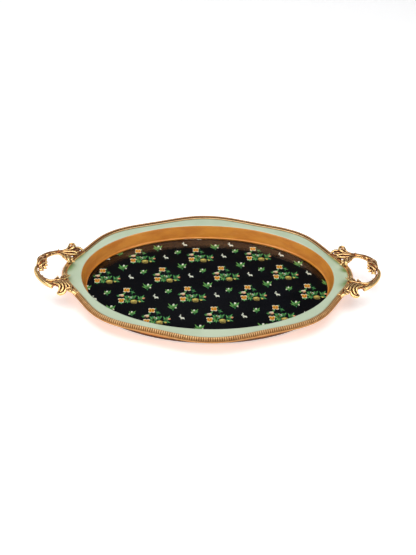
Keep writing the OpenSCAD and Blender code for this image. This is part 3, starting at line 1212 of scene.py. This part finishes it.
@dataclass
class ScrollHandle:
    """A cast scroll handle: plain saddle, leaf clusters, arms and an open reed grip, as one casting."""

    outline: Outline
    rim_z: float
    strands: tuple[Strand, ...] = HANDLE_STRANDS
    saddle_half_angle: float = 21.0
    saddle_step: float = 1.0
    grain: float = 0.42
    easing_rounds: int = 2
    easing_share: float = 0.5
    relief_rounds: tuple[int, ...] = (6, 30)
    relief_share: float = 0.7
    relief_spread: float = 2.2
    # tones of the casting: patina in hollows, painted shade underneath, painted highlight on the crests
    plain_shade: float = 0.58
    relief_shade: float = 1.05
    under_shade: float = 0.25
    saddle: tuple[tuple[float, float], ...] = (
        (0.0, -0.1), (0.0, 0.9), (0.5, 2.1), (1.4, 3.1), (2.6, 3.8), (4.0, 4.0), (5.4, 3.7), (6.6, 2.8),
        (7.5, 1.5), (7.95, 0.0), (8.0, -2.8), (7.6, -3.2), (6.45, -3.2), (6.45, -0.1),
    )
    gilding: Gilding = Gilding(
        "antique_gold", tint(252, 212, 144), tint(166, 84, 28), tint(62, 22, 6), 0.25, 0.9, 0.3, 0.78
    )

    def build(self) -> list[bpy.types.Object]:
        """Cast, finish and place the right handle and its mirrored fellow.

        Returns:
            The right handle and the left one.
        """
        points, faces = self._cast()
        points = self._eased(points, faces, self.easing_rounds, self.easing_share)
        patina_and_shade = self._patina_and_shade(points, faces)
        material = self.gilding.material()
        pieces = []
        for side, hand in (("right", 1), ("left", -1)):
            heap = Heap()
            heap.add(points * [hand, 1, 1], (faces if hand > 0 else faces[:, ::-1]).tolist())
            piece = heap.build(f"scroll_handle_{side}", [material])
            store(piece, "patina_and_shade", patina_and_shade)
            pieces.append(settle(piece, "handle_gilt", f"handle_{side}"))
        return pieces

    def _cast(self) -> tuple[Array, Array]:
        """Merge the saddle and the strands into one skin.

        Returns:
            Its points, and its four-cornered faces.
        """
        heap = Heap()
        half = math.radians(self.saddle_half_angle)
        turn, _ = self.outline.evenly(-half, half, self.saddle_step * MM)
        base = self.outline.points(turn)
        outward = self.outline.outward(turn)
        sweep = [raised(base + outward * out * MM, self.rim_z + up * MM) for out, up in self.saddle]
        heap.skin(np.stack(sweep, axis=1))
        for strand in self.strands:
            rings = strand.rings()
            LOG.debug("%s: %d rings", strand.name, len(rings))
            heap.skin(rings + [0.0, 0.0, self.rim_z])
        rough = heap.build("handle_core", [])
        merge = rough.modifiers.new("cast", "REMESH")
        merge.mode = "VOXEL"
        merge.voxel_size = self.grain * MM
        merge.adaptivity = 0.0
        depsgraph = bpy.context.evaluated_depsgraph_get()
        mesh = bpy.data.meshes.new_from_object(rough.evaluated_get(depsgraph))
        points = np.empty(len(mesh.vertices) * 3)
        mesh.vertices.foreach_get("co", points)
        corners = np.empty(len(mesh.loops), int)
        mesh.loops.foreach_get("vertex_index", corners)
        bpy.data.objects.remove(rough)
        bpy.data.meshes.remove(mesh)
        return points.reshape(-1, 3), corners.reshape(-1, 4)

    def _neighbours(self, faces: Array) -> tuple[Array, Array]:
        """Each edge's two ends, both ways round."""
        ends = np.concatenate([faces[:, [k, (k + 1) % 4]] for k in range(4)])
        return ends[:, 0], ends[:, 1]

    def _eased(self, points: Array, faces: Array, rounds: int, share: float) -> Array:
        """Ease every point towards its neighbours' middle.

        Args:
            points: The casting's points.
            faces: Its faces.
            rounds: How many times it is done.
            share: How far each point moves each time.

        Returns:
            The eased points.
        """
        here, there = self._neighbours(faces)
        count = np.bincount(here, minlength=len(points))[:, None]
        for _ in range(rounds):
            total = np.column_stack([np.bincount(here, points[there, k], len(points)) for k in range(3)])
            points = points + (total / count - points) * share
        return points

    def _patina_and_shade(self, points: Array, faces: Array) -> Array:
        """Patina and painted shade for each point: deeper between the modelled forms, with painted shade
        where the casting faces down.

        Args:
            points: The casting's points.
            faces: Its faces.

        Returns:
            A value for each point: the plain tone on flat places, less on crests where the painted highlight
                falls, more as painted shade underneath, and 1 in hollows.
        """
        a, b, c, d = (points[faces[:, k]] for k in range(4))
        face_normal = np.cross(c - a, d - b)
        normal = np.zeros_like(points)
        for k in range(4):
            for axis in range(3):
                normal[:, axis] += np.bincount(faces[:, k], face_normal[:, axis], len(points))
        normal /= np.maximum(np.linalg.norm(normal, axis=1, keepdims=True), 1e-12)
        deep = np.zeros(len(points))
        for rounds in self.relief_rounds:
            eased = self._eased(points, faces, rounds, self.relief_share)
            lift = ((eased - points) * normal).sum(axis=1) / MM
            spread = np.std(lift)
            deep += np.clip(lift / (self.relief_spread * spread), -1, 1) / len(self.relief_rounds)
        # painted shade on the faces that look down
        underneath = np.clip(-normal[:, 2], 0, 1) * self.under_shade
        return np.clip(self.plain_shade + self.relief_shade * deep + underneath, 0, 1)


# ---------------------------------------------------------------- printed panel and glass


@dataclass(frozen=True)
class Mark:
    """One inked shape of a motif: its ink, its printing layer, and its corners in millimetres."""

    ink: Ink
    layer: int
    corners: Array


def leaf(ink: Ink, layer: int, root: Spot, tip: Spot, width: float, bow: float = 0.0) -> Mark:
    """A pointed leaf.

    Args:
        ink: Its ink.
        layer: Its printing layer.
        root: Where it grows from.
        tip: Its point.
        width: Its greatest width.
        bow: How far it bends sideways.

    Returns:
        The mark.
    """
    share = np.linspace(0, 1, 8)
    spine = np.array(root) + (np.array(tip) - np.array(root)) * share[:, None]
    along = np.array(tip) - np.array(root)
    across = np.array([-along[1], along[0]]) / np.hypot(*along)
    spine = spine + across * (bow * np.sin(np.pi * share))[:, None]
    half = width / 2 * np.sin(np.pi * share**0.8) ** 0.8
    left = spine + across * half[:, None]
    right = spine - across * half[:, None]
    return Mark(ink, layer, np.vstack([right, left[-2:0:-1]]))


def petal(ink: Ink, layer: int, middle: Spot, length: float, width: float, angle: float = 0.0) -> Mark:
    """A rounded petal, bud or spot.

    Args:
        ink: Its ink.
        layer: Its printing layer.
        middle: Its middle.
        length: Its length.
        width: Its width.
        angle: How far its length is turned from the x axis, in degrees.

    Returns:
        The mark.
    """
    turn = turns(14)
    ragged = 1 + 0.06 * np.sin(3 * turn + middle[0]) + 0.04 * np.sin(5 * turn + middle[1])
    shape = np.column_stack([length / 2 * np.cos(turn) * ragged, width / 2 * np.sin(turn) * ragged])
    lean = math.radians(angle)
    rotate = np.array([[math.cos(lean), math.sin(lean)], [-math.sin(lean), math.cos(lean)]])
    return Mark(ink, layer, shape @ rotate + np.array(middle))


def veined(ink: Ink, root: Spot, tip: Spot, width: float, bow: float = 0.0) -> list[Mark]:
    """A leaf with a paler stroke along its middle.

    Args:
        ink: Its ink.
        root: Where it grows from.
        tip: Its point.
        width: Its greatest width.
        bow: How far it bends sideways.

    Returns:
        The leaf and its stroke.
    """
    pale = Ink.SPRING if ink is Ink.LEAF else Ink.LEAF
    near = (root[0] * 0.75 + tip[0] * 0.25, root[1] * 0.75 + tip[1] * 0.25)
    far = (root[0] * 0.15 + tip[0] * 0.85, root[1] * 0.15 + tip[1] * 0.85)
    return [leaf(ink, 0, root, tip, width, bow), leaf(pale, 1, near, far, width * 0.36, bow * 0.8)]


def rose(x: float, y: float, size: float, bowl: float = 0.0) -> list[Mark]:
    """An open two-lobed rose, cream at the edge and orange towards its heart.

    Args:
        x: Its middle along the motif, in millimetres.
        y: Its middle across the motif.
        size: Its width.
        bowl: How much its lower half narrows, from 0 to 1.

    Returns:
        Its inked marks.
    """
    step = size * 0.25
    marks = []
    for dx in (-1, 1):
        for dy in (-1, 1):
            narrow = 1 - 0.5 * bowl * (dy < 0)
            spot = (x + dx * step * narrow, y + dy * step * 1.1)
            marks.append(petal(Ink.CREAM, 2, spot, size * 0.48, size * 0.5, 45 * dx * dy))
            warm = (x + dx * step * 0.9 * narrow, y + dy * step * 0.8)
            marks.append(petal(Ink.APRICOT, 3, warm, size * 0.38, size * 0.44, 30 * dx * dy))
            heart = (x + dx * step * 0.75 * narrow, y + dy * step * 0.5)
            marks.append(petal(Ink.ORANGE, 4, heart, size * 0.26, size * 0.38, -18 * dx * dy))
    marks += [
        petal(Ink.CREAM, 2, (x, y), size * 0.6, size * 0.6),
        petal(Ink.APRICOT, 3, (x, y), size * 0.3, size * 0.66),
        petal(Ink.LEMON, 5, (x, y + size * 0.1), size * 0.14, size * 0.3),
        petal(Ink.AMBER, 5, (x + size * 0.2, y - size * 0.1), size * 0.08, size * 0.2),
        petal(Ink.AMBER, 5, (x - size * 0.2, y - size * 0.06), size * 0.08, size * 0.2),
    ]
    return marks


def posy() -> list[Mark]:
    """The large motif: two roses, a pink blossom, small buds, a gourd and spiky leaves.

    Returns:
        Its inked marks.
    """
    marks: list[Mark] = []
    heart = (3.0, -20.5)
    for tip, width, ink in (
        ((-2.5, -12.5), 2.6, Ink.LEAF), ((0.8, -11.0), 2.4, Ink.FOREST), ((4.2, -12.0), 2.2, Ink.LEAF),
        ((8.5, -12.5), 2.4, Ink.FOREST), ((-4.0, -18.0), 2.4, Ink.FOREST), ((-1.5, -28.5), 2.8, Ink.LEAF),
        ((2.2, -30.0), 2.6, Ink.LEAF), ((5.4, -28.5), 2.4, Ink.FOREST), ((8.6, -20.0), 2.6, Ink.LEAF),
        ((-4.5, -23.5), 2.2, Ink.LEAF),
    ):
        marks += veined(ink, heart, tip, width, 0.3)
    for root, tip, width, ink in (
        ((9.0, -19.5), (9.2, -12.0), 3.0, Ink.LEAF), ((9.5, -19.0), (14.2, -11.5), 3.2, Ink.LEAF),
        ((8.0, -16.0), (14.5, -14.8), 2.6, Ink.FOREST), ((9.8, -20.5), (12.6, -16.2), 2.2, Ink.FOREST),
        ((-8.0, -13.4), (-14.0, -12.6), 1.8, Ink.LEAF), ((-8.0, -12.0), (-12.2, -9.6), 1.3, Ink.FOREST),
        ((-8.5, -14.0), (-12.6, -14.8), 1.4, Ink.LEAF), ((-1.2, -4.2), (-4.2, -11.2), 1.5, Ink.LEAF),
        ((-2.4, -6.0), (-5.8, -10.0), 1.1, Ink.SPRING), ((-7.0, -27.0), (-5.6, -31.6), 2.8, Ink.LEAF),
        ((-9.0, -27.0), (-9.4, -29.8), 1.6, Ink.LEAF), ((-5.0, -26.5), (-2.8, -29.6), 1.6, Ink.LEAF),
        ((19.6, -22.5), (16.2, -12.2), 2.2, Ink.LEAF), ((20.0, -21.5), (20.6, -12.8), 2.4, Ink.FOREST),
        ((20.0, -21.0), (25.2, -10.8), 2.6, Ink.LEAF), ((19.5, -21.5), (16.0, -18.0), 2.0, Ink.FOREST),
        ((20.5, -22.0), (26.2, -15.6), 1.8, Ink.LEAF), ((20.5, -22.5), (26.0, -26.4), 2.0, Ink.LEAF),
        ((20.0, -22.5), (22.8, -27.4), 1.8, Ink.FOREST), ((19.5, -22.5), (15.4, -24.6), 2.0, Ink.LEAF),
        ((5.0, -2.5), (12.6, -6.6), 1.8, Ink.LEAF), ((7.0, -3.6), (10.8, -1.6), 1.3, Ink.FOREST),
        ((8.0, -4.0), (8.6, -9.6), 1.3, Ink.FOREST),
    ):
        marks += veined(ink, root, tip, width)
    marks += [
        leaf(Ink.FOREST, 0, (5.0, 4.6), (6.6, -3.0), 0.55, 0.8),
        leaf(Ink.FOREST, 0, (6.4, -2.0), (7.6, -11.6), 0.55, -0.5),
        leaf(Ink.LEAF, 1, (3.6, 1.6), (5.6, 5.4), 1.5), petal(Ink.SPRING, 2, (5.2, 4.4), 1.5, 1.1, 50),
    ]
    marks += rose(0.0, 0.0, 9.4)
    marks += [
        petal(Ink.CREAM, 2, (-6.6, -11.2), 6.6, 3.6, 8), petal(Ink.PEACH, 3, (-6.6, -12.8), 7.0, 4.2, 4),
        petal(Ink.BLUSH, 4, (-5.4, -14.2), 3.4, 1.5, 10), petal(Ink.PEACH, 3, (-8.2, -13.6), 3.0, 2.2, -20),
        petal(Ink.CREAM, 5, (-7.4, -12.2), 2.2, 1.0, 15), petal(Ink.ORANGE, 5, (-4.4, -12.4), 1.2, 1.0),
    ]
    marks += rose(-6.4, -23.4, 9.4, 0.7)
    marks += [
        petal(Ink.PEARL, 3, (3.6, -14.2), 1.5, 1.2), petal(Ink.BLUSH, 3, (5.0, -15.8), 1.5, 1.3),
        petal(Ink.PEARL, 4, (6.6, -15.4), 1.7, 1.3), petal(Ink.PEARL, 4, (7.0, -17.4), 2.0, 1.6),
        petal(Ink.BLUSH, 4, (4.4, -17.6), 1.0, 0.8), petal(Ink.AMBER, 3, (1.6, -20.2), 0.9, 0.9),
        petal(Ink.LEMON, 3, (-0.4, -21.6), 1.0, 0.8), petal(Ink.AMBER, 3, (2.4, -25.2), 0.8, 0.8),
    ]
    marks += [
        petal(Ink.OLIVE, 2, (11.2, -26.2), 10.4, 9.6), petal(Ink.GOLD, 3, (11.0, -24.6), 9.0, 6.0),
        petal(Ink.LEMON, 4, (10.4, -23.6), 5.6, 2.6, 6), petal(Ink.OLIVE, 5, (12.6, -25.6), 2.6, 0.7, 24),
        petal(Ink.GOLD, 3, (8.2, -28.2), 0.8, 3.0, 30), petal(Ink.GOLD, 3, (14.4, -28.2), 0.8, 3.0, -30),
    ]
    marks += [
        petal(Ink.BLUSH, 2, (24.4, -18.2), 3.8, 3.4), petal(Ink.PEACH, 3, (23.8, -17.6), 2.0, 1.8),
        petal(Ink.ORANGE, 4, (25.0, -18.8), 1.2, 1.0), petal(Ink.LEMON, 2, (19.4, -25.4), 3.2, 3.0),
        petal(Ink.GOLD, 3, (19.9, -26.0), 1.4, 1.2), petal(Ink.AMBER, 3, (20.4, -18.4), 1.2, 0.9),
    ]
    return marks


def tall_sprig() -> list[Mark]:
    """A fan of leaves round two white buds.

    Returns:
        Its inked marks.
    """
    marks: list[Mark] = []
    for tip, width, ink in (
        ((-7.4, -0.2), 2.1, Ink.SPRING), ((-6.4, 6.4), 2.3, Ink.SPRING), ((-3.2, 3.2), 2.2, Ink.LEAF),
        ((-0.6, 4.2), 2.4, Ink.LEAF), ((3.2, 4.6), 2.4, Ink.LEAF), ((6.8, 5.4), 2.5, Ink.SPRING),
        ((5.8, 0.6), 2.3, Ink.LEAF), ((-4.2, -3.4), 2.0, Ink.LEAF),
    ):
        marks += veined(ink, (0.6, -6.0), tip, width, 0.3)
    marks.append(leaf(Ink.LEAF, 0, (0.6, -4.0), (0.2, -9.6), 1.5))
    marks += [
        petal(Ink.PEARL, 3, (0.9, 3.2), 2.7, 4.6, -8), petal(Ink.LEMON, 4, (1.1, 1.8), 1.2, 1.6),
        petal(Ink.CREAM, 3, (4.2, -3.2), 2.1, 3.4, 18),
    ]
    return marks


def short_sprig() -> list[Mark]:
    """A smaller fan of leaves, its second bud on the other side.

    Returns:
        Its inked marks.
    """
    marks: list[Mark] = []
    for tip, width, ink in (
        ((-3.6, 4.2), 2.1, Ink.SPRING), ((-4.8, -0.4), 1.9, Ink.LEAF), ((1.8, 4.2), 2.0, Ink.LEAF),
        ((5.4, 5.0), 2.2, Ink.SPRING), ((5.6, 0.4), 2.1, Ink.LEAF), ((3.0, -0.4), 1.8, Ink.LEAF),
    ):
        marks += veined(ink, (0.4, -3.8), tip, width, 0.25)
    marks.append(leaf(Ink.LEAF, 0, (0.4, -3.0), (0.6, -6.6), 1.2))
    marks += [
        petal(Ink.PEARL, 3, (-0.1, 2.4), 2.2, 3.8, -6), petal(Ink.LEMON, 4, (0.0, 1.2), 1.0, 1.4),
        petal(Ink.CREAM, 3, (-3.3, -2.2), 1.8, 2.7, -16),
    ]
    return marks


def hare() -> list[Mark]:
    """A little pale hare, head to the left with its ear up.

    Returns:
        Its inked marks.
    """
    return [
        petal(Ink.PEARL, 3, (-1.4, 3.3), 1.4, 3.4, 4), petal(Ink.PEARL, 3, (-2.6, 0.7), 2.3, 2.4),
        petal(Ink.PEARL, 3, (-1.7, 1.3), 1.5, 3.0, 12), petal(Ink.PEARL, 4, (-0.6, -1.6), 3.4, 2.6, -24),
        petal(Ink.PEARL, 3, (0.8, -2.6), 5.0, 3.0, -10), petal(Ink.PEARL, 4, (2.5, -2.8), 2.6, 3.2),
        leaf(Ink.PEARL, 3, (-0.4, -3.0), (-0.9, -5.6), 1.3),
        leaf(Ink.PEARL, 3, (2.6, -3.0), (3.9, -5.2), 1.4),
        petal(Ink.PEACH, 5, (0.4, -2.6), 1.4, 0.9, -10),
    ]


@dataclass
class PrintedPanel:
    """The printed sheet: a blue-black ground with motifs repeated on a slanting lattice."""

    oval: Oval
    sheet_low: float
    sheet_top: float
    sheet_margin: float = 1.9 * MM
    layer_t: float = 0.014 * MM
    clearance: float = 0.02 * MM
    keep_margin: float = 1.4 * MM
    trim_margin: float = 1.6 * MM
    first: Spot = (-102.1, 81.3)
    step_along: Spot = (86.0, 4.5)
    step_down: Spot = (36.5, -44.7)
    columns: range = range(-4, 5)
    rows: range = range(-3, 7)
    tall_sprig_at: Spot = (0.41, -0.17)
    short_sprig_at: Spot = (0.64, 0.10)
    hare_at: Spot = (0.34, 0.33)
    posy_rows: tuple[tuple[int, int, int], ...] = ((0, 0, 2), (1, -1, 2), (2, -1, 2), (3, -1, 1))
    stray_hares: tuple[Spot, ...] = ((-32.8, 101.1), (36.5, 101.3))

    def build(self) -> list[bpy.types.Object]:
        """Build the sheet and its print."""
        return [self._sheet(), self._print()]

    def _sheet(self) -> bpy.types.Object:
        """The paper itself, a thin oval just clear of the board.

        Returns:
            The ground, which stands for its CAD node.
        """
        heap = Heap()
        edge = self.oval.offset(turns(OVAL_POINTS), self.sheet_margin)
        low = self.sheet_low + self.clearance
        heap.skin(np.stack([raised(edge, low), raised(edge, self.sheet_top)]))
        piece = heap.build("printed_sheet_ground", [NightPaper().material()])
        return settle(piece, "printed_panel", "printed_sheet")

    def _spot(self, column: float, row: float) -> Array:
        """A place on the lattice, in millimetres."""
        return np.array(self.first) + np.array(self.step_along) * column + np.array(self.step_down) * row

    def _spots(self, share: Spot) -> list[Array]:
        """Every place that lies the given share of a step past a lattice point."""
        return [self._spot(i + share[0], j + share[1]) for i in self.columns for j in self.rows]

    def _posy_spots(self) -> list[Array]:
        """The places of the large motif: each row is its number, first column and last column."""
        return [self._spot(i, row) for row, start, last in self.posy_rows for i in range(start, last + 1)]

    def _print(self) -> bpy.types.Object:
        """All the motifs, as thin layers of ink trimmed to the sheet.

        Returns:
            The print, which no CAD node has.
        """
        heap = Heap()
        for motif, spots in (
            (posy(), self._posy_spots()), (tall_sprig(), self._spots(self.tall_sprig_at)),
            (short_sprig(), self._spots(self.short_sprig_at)),
            (hare(), self._spots(self.hare_at) + [np.array(spot) for spot in self.stray_hares]),
        ):
            for spot in spots:
                for mark in motif:
                    self._lay(heap, mark, spot)
        piece = heap.build("printed_motifs", [ink.material() for ink in Ink], smooth=False)
        return settle(piece, "printed_panel")

    def _lay(self, heap: Heap, mark: Mark, spot: Array) -> None:
        """Lay one mark on the sheet, cut back where it would pass the sheet's edge.

        Args:
            heap: Where the print is gathered.
            mark: The inked shape.
            spot: The motif's place on the sheet, in millimetres.
        """
        flat = (mark.corners + spot) * MM
        if self.oval.share(flat.mean(axis=0, keepdims=True), self.keep_margin)[0] > 1:
            return
        share = self.oval.share(flat, self.trim_margin)
        flat = flat / np.maximum(share, 1.0)[:, None]
        top = self.sheet_top + (mark.layer + 1) * self.layer_t
        count = len(flat)
        points = np.vstack([raised(flat, self.sheet_top), raised(flat, top)])
        faces = [list(range(count, 2 * count)), list(range(count - 1, -1, -1))]
        faces += [[k, (k + 1) % count, count + (k + 1) % count, count + k] for k in range(count)]
        heap.add(points, faces, int(mark.ink))


@dataclass
class GlassCover:
    """Cover glass with a fine polished arris, just clear of the print."""

    oval: Oval
    low: float
    top: float
    gap: float = 0.3 * MM
    arris: float = 0.5 * MM

    def build(self) -> bpy.types.Object:
        """Build the glass over the print.

        Returns:
            The glass, which stands for its CAD node.
        """
        turn = turns(OVAL_POINTS)
        edge = self.oval.offset(turn, -self.gap)
        inset = self.oval.offset(turn, -self.gap - self.arris)
        heap = Heap()
        heap.skin(np.stack([
            raised(inset, self.low),
            raised(edge, self.low + self.arris),
            raised(edge, self.top - self.arris),
            raised(inset, self.top),
        ]))
        piece = heap.build("glass_cover", [ClearGlass().material()], smooth=False)
        return settle(piece, "panel_glass", "glass_panel")


# ---------------------------------------------------------------- underside


@dataclass(frozen=True)
class ScrewHead:
    """A screw seen from below: a round head with a cross recess, and its shank."""

    radius: float
    height: float
    dome: float
    shank_radius: float
    shank_length: float
    recess_arm: float = 1.7
    recess_half: float = 0.36
    recess_depth: float = 1.1
    recess_slope: float = 0.14
    recess_end_slope: float = 0.3
    around: int = 48

    def add_to(self, heap: Heap, x: float, y: float, face_z: float, turned: float) -> None:
        """Add the screw.

        Args:
            heap: Where the set of screws is gathered.
            x: Its place along the tray, in metres.
            y: Its place across the tray, in metres.
            face_z: Height of the head's lowest point, in metres.
            turned: How far its recess is turned, in radians.
        """
        angle = turns(self.around)
        rings = []
        top = self.height + self.shank_length
        for radius, height in (
            (self.shank_radius * 0.4, top), (self.shank_radius, top - 0.8), (self.shank_radius, self.height),
            (self.radius * 0.92, self.height), (self.radius, self.height - 0.15),
            (self.radius, 0.55 * self.height),
        ):
            rings.append(self._ring(radius, angle, np.full(self.around, height)))
        for share in np.linspace(0.98, 0.04, 20):
            radius = self.radius * share
            dome = self.dome * (share**2)
            along = np.abs(radius * np.cos(angle))
            beside = np.abs(radius * np.sin(angle))
            inside = np.clip((self.recess_half - np.minimum(along, beside)) / self.recess_slope, 0, 1)
            inside *= np.clip((self.recess_arm - np.maximum(along, beside)) / self.recess_end_slope, 0, 1)
            rings.append(self._ring(radius, angle, dome + inside * self.recess_depth))
        shape = np.stack(rings)
        lean = np.array([[math.cos(turned), math.sin(turned)], [-math.sin(turned), math.cos(turned)]])
        shape[..., :2] = shape[..., :2] @ lean
        heap.skin(shape[::-1] * MM + np.array([x, y, face_z]))

    def _ring(self, radius: float, angle: Array, height: Array) -> Array:
        """One ring of points at a radius."""
        return np.column_stack([radius * np.cos(angle), radius * np.sin(angle), height])


@dataclass
class Underside:
    """What shows from below: the screwed board, felt pads, and the handles' screws and washers."""

    outline: Outline
    oval: Oval
    board_screw_margin: float = 4.4 * MM
    board_screw_count: int = 10
    handle_screw_out: float = 3.2 * MM
    handle_screw_angle: float = 14.0
    board_head: ScrewHead = ScrewHead(2.0, 1.4, 0.1, 1.15, 7.5, 1.25, 0.28, 0.8)
    handle_head: ScrewHead = ScrewHead(2.8, 2.0, 0.7, 1.45, 6.4)
    pad_angles: tuple[int, ...] = (20, 90, 160, 200, 270, 340)
    pad_inset: float = 7.0 * MM
    pad_radius: float = 9.0 * MM
    pad_height: float = 1.98
    pad_clearance: float = 0.02 * MM
    pad_profile: tuple[Spot, ...] = (
        (-0.75, 0.0), (-0.3, 0.12), (-0.05, 0.45), (0.0, 0.9), (-0.05, 1.5), (-0.25, 1.9), (-0.6, 1.98),
    )

    def build(self) -> list[bpy.types.Object]:
        """Build the pads and screws, and dress the board and washers.

        Returns:
            The pads and the three sets of screws.
        """
        steel = ZincSteel().material()
        self._dress("base_board", Fibreboard().material())
        self._dress("handle_washers_left", steel)
        self._dress("handle_washers_right", steel)
        return [
            self._pads(),
            self._board_screws(steel),
            self._handle_screws(1, "handle_screws_right", steel),
            self._handle_screws(-1, "handle_screws_left", steel),
        ]

    def _dress(self, node: str, material: bpy.types.Material) -> None:
        """Give a CAD node its finish.

        Args:
            node: The CAD node, whose shape stays.
            material: Its finish.
        """
        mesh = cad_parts[node].data
        mesh.materials.clear()
        mesh.materials.append(material)
        LOG.info("%s: kept from the frame, finished in %s", node, material.name)

    def _pads(self) -> bpy.types.Object:
        """Felt pads with soft edges under the board.

        Returns:
            The set of pads, which stands for its CAD node.
        """
        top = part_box("foot_pads")[1].z - self.pad_clearance
        heap = Heap()
        angle = turns(64)
        for place in self.pad_angles:
            turn = math.radians(place)
            middle = self.oval.offset(np.array([turn]), -self.pad_inset)[0]
            rings = []
            for inset, height in self.pad_profile:
                fuzz = 0.05 * MM * np.sin(7 * angle + place) * (inset > -0.5)
                radius = self.pad_radius + inset * MM + fuzz
                ring = np.column_stack([radius * np.cos(angle), radius * np.sin(angle)]) + middle
                rings.append(raised(ring, height / self.pad_height * top))
            heap.skin(np.stack(rings))
        return settle(heap.build("felt_pads", [PadFelt().material()]), "pad_felt", "foot_pads")

    def _board_screws(self, steel: bpy.types.Material) -> bpy.types.Object:
        """The ring of screws that hold the board, sunk flush with it.

        Args:
            steel: Their finish.

        Returns:
            The set of screws, which stands for its CAD node.
        """
        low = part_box("board_screws")[0].z
        heap = Heap()
        for number in range(self.board_screw_count):
            turn = (number + 0.5) * 2 * math.pi / self.board_screw_count
            x, y = self.oval.offset(np.array([turn]), self.board_screw_margin)[0]
            self.board_head.add_to(heap, x, y, low, 2.4 * number)
        return settle(heap.build("board_fixings", [steel]), "screw_steel", "board_screws")

    def _handle_screws(self, hand: int, node: str, steel: bpy.types.Material) -> bpy.types.Object:
        """The two screws that hold one handle.

        Args:
            hand: 1 for the right handle and -1 for the left one.
            node: The CAD node that they stand for.
            steel: Their finish.

        Returns:
            The pair of screws.
        """
        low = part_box(node)[0].z
        heap = Heap()
        for number, angle in enumerate((-self.handle_screw_angle, self.handle_screw_angle)):
            x, y = self.outline.offset(np.array([math.radians(angle)]), self.handle_screw_out)[0]
            self.handle_head.add_to(heap, hand * x, y, low, 0.7 + 1.9 * number)
        name = "handle_fixings_right" if hand > 0 else "handle_fixings_left"
        return settle(heap.build(name, [steel]), "screw_steel", node)


# ---------------------------------------------------------------- studio


@dataclass(frozen=True)
class SoftLamp:
    """A soft box: where it stands, what it faces, its size in metres and its power in watts."""

    name: str
    place: tuple[float, float, float]
    target: tuple[float, float, float]
    width: float
    depth: float
    power: float

    def build(self) -> None:
        """Hang the lamp and turn it to what it faces."""
        lamp = bpy.data.lights.new(self.name, "AREA")
        lamp.shape = "RECTANGLE"
        lamp.size = self.width
        lamp.size_y = self.depth
        lamp.energy = self.power
        holder = bpy.data.objects.new(self.name, lamp)
        bpy.context.scene.collection.objects.link(holder)
        holder.location = self.place
        aim = Vector(self.target) - Vector(self.place)
        holder.rotation_euler = aim.to_track_quat("-Z", "Y").to_euler()


@dataclass
class Studio:
    """Pale floor swept up into a low wall all round, glowing as painted light, soft boxes, dim surroundings
    and the camera.
    """

    lens: float = 63.2
    camera_place: tuple[float, float, float] = (-0.0490, -1.0969, 0.8611)
    camera_target: tuple[float, float, float] = (0.0007, 0.0159, 0.0064)
    camera_roll: float = 2.12
    surroundings: Colour = (0.035, 0.036, 0.042, 1.0)
    lamps: tuple[SoftLamp, ...] = (
        SoftLamp("overhead", (-0.1, -0.15, 1.9), (0.0, 0.0, 0.0), 2.0, 1.5, 30.0),
        SoftLamp("left_front", (-1.5, -1.4, 1.2), (0.0, 0.0, 0.0), 0.9, 0.9, 12.0),
        SoftLamp("right_front", (1.6, -1.2, 1.0), (0.0, 0.0, 0.0), 0.8, 0.8, 8.0),
        SoftLamp("left_far", (-1.9, 1.3, 1.7), (0.0, 0.0, 0.0), 0.7, 0.7, 5.0),
    )
    card: Colour = (0.93, 0.93, 0.93, 1.0)
    pale_card: Colour = (0.95, 0.95, 0.95, 1.0)
    # the floor's glow is painted light: it lifts the shade on the floor and lights the tray from below
    card_glow: float = 0.42
    card_around: int = 96
    card_sweep: tuple[Spot, ...] = (
        (4.62, 1.45), (4.6, 1.0), (4.5, 0.6), (4.3, 0.3), (4.0, 0.1), (3.6, 0.01), (3.2, 0.0), (0.001, 0.0),
    )

    def build(self) -> None:
        """Set up floor, light and camera."""
        self._floor()
        for lamp in self.lamps:
            lamp.build()
        world = bpy.data.worlds.new("studio_air")
        world.use_nodes = True
        world.node_tree.nodes["Background"].inputs["Color"].default_value = self.surroundings
        bpy.context.scene.world = world
        bpy.context.scene.view_settings.view_transform = "Standard"
        self._camera()

    def _floor(self) -> None:
        """The pale floor and its swept-up wall, which glows as painted light to lift the shade on it and
        under the tray.
        """
        bench = Bench("studio_card")
        cloud = bench.mottle(300, 2.0)
        colour = bench.blend(cloud, self.card, self.pale_card)
        material = bench.finish({
            "Base Color": colour,
            "Roughness": 0.9,
            "Emission Color": (1.0, 1.0, 1.0, 1.0),
            "Emission Strength": self.card_glow,
        })
        angle = turns(self.card_around)
        circle = np.column_stack([np.cos(angle), np.sin(angle)])
        rings = [raised(radius * circle, height) for radius, height in self.card_sweep]
        heap = Heap()
        heap.skin(np.stack(rings)[::-1], capped=False)
        heap.build("studio_floor", [material])

    def _camera(self) -> None:
        """The camera, set square on the tray and rolled a little."""
        lens = bpy.data.cameras.new("camera")
        lens.lens = self.lens
        lens.sensor_width = 36.0
        lens.clip_start = 0.01
        camera = bpy.data.objects.new("camera", lens)
        bpy.context.scene.collection.objects.link(camera)
        aim = Vector(self.camera_target) - Vector(self.camera_place)
        level = aim.to_track_quat("-Z", "Y").to_matrix().to_4x4()
        roll = Matrix.Rotation(math.radians(self.camera_roll), 4, "Z")
        camera.matrix_world = Matrix.Translation(self.camera_place) @ (level @ roll)
        bpy.context.scene.camera = camera


def main() -> None:
    """Build the tray from its outline inwards, then the studio round it."""
    logging.basicConfig(level=logging.INFO, format="%(name)s %(message)s")
    outline = Outline()
    oval = Oval()
    rim_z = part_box("rim_frame")[1].z
    sheet_low, sheet_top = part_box("printed_sheet")
    glass_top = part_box("glass_panel")[1].z
    TrayFrame(outline, oval, rim_z).build()
    EdgeMoulding(outline, rim_z).build()
    ScrollHandle(outline, rim_z).build()
    PrintedPanel(oval, sheet_low.z, sheet_top.z).build()
    GlassCover(oval, sheet_top.z + PRINT_HEIGHT, glass_top).build()
    Underside(outline, oval).build()
    Studio().build()


if __name__ == "__main__":
    main()
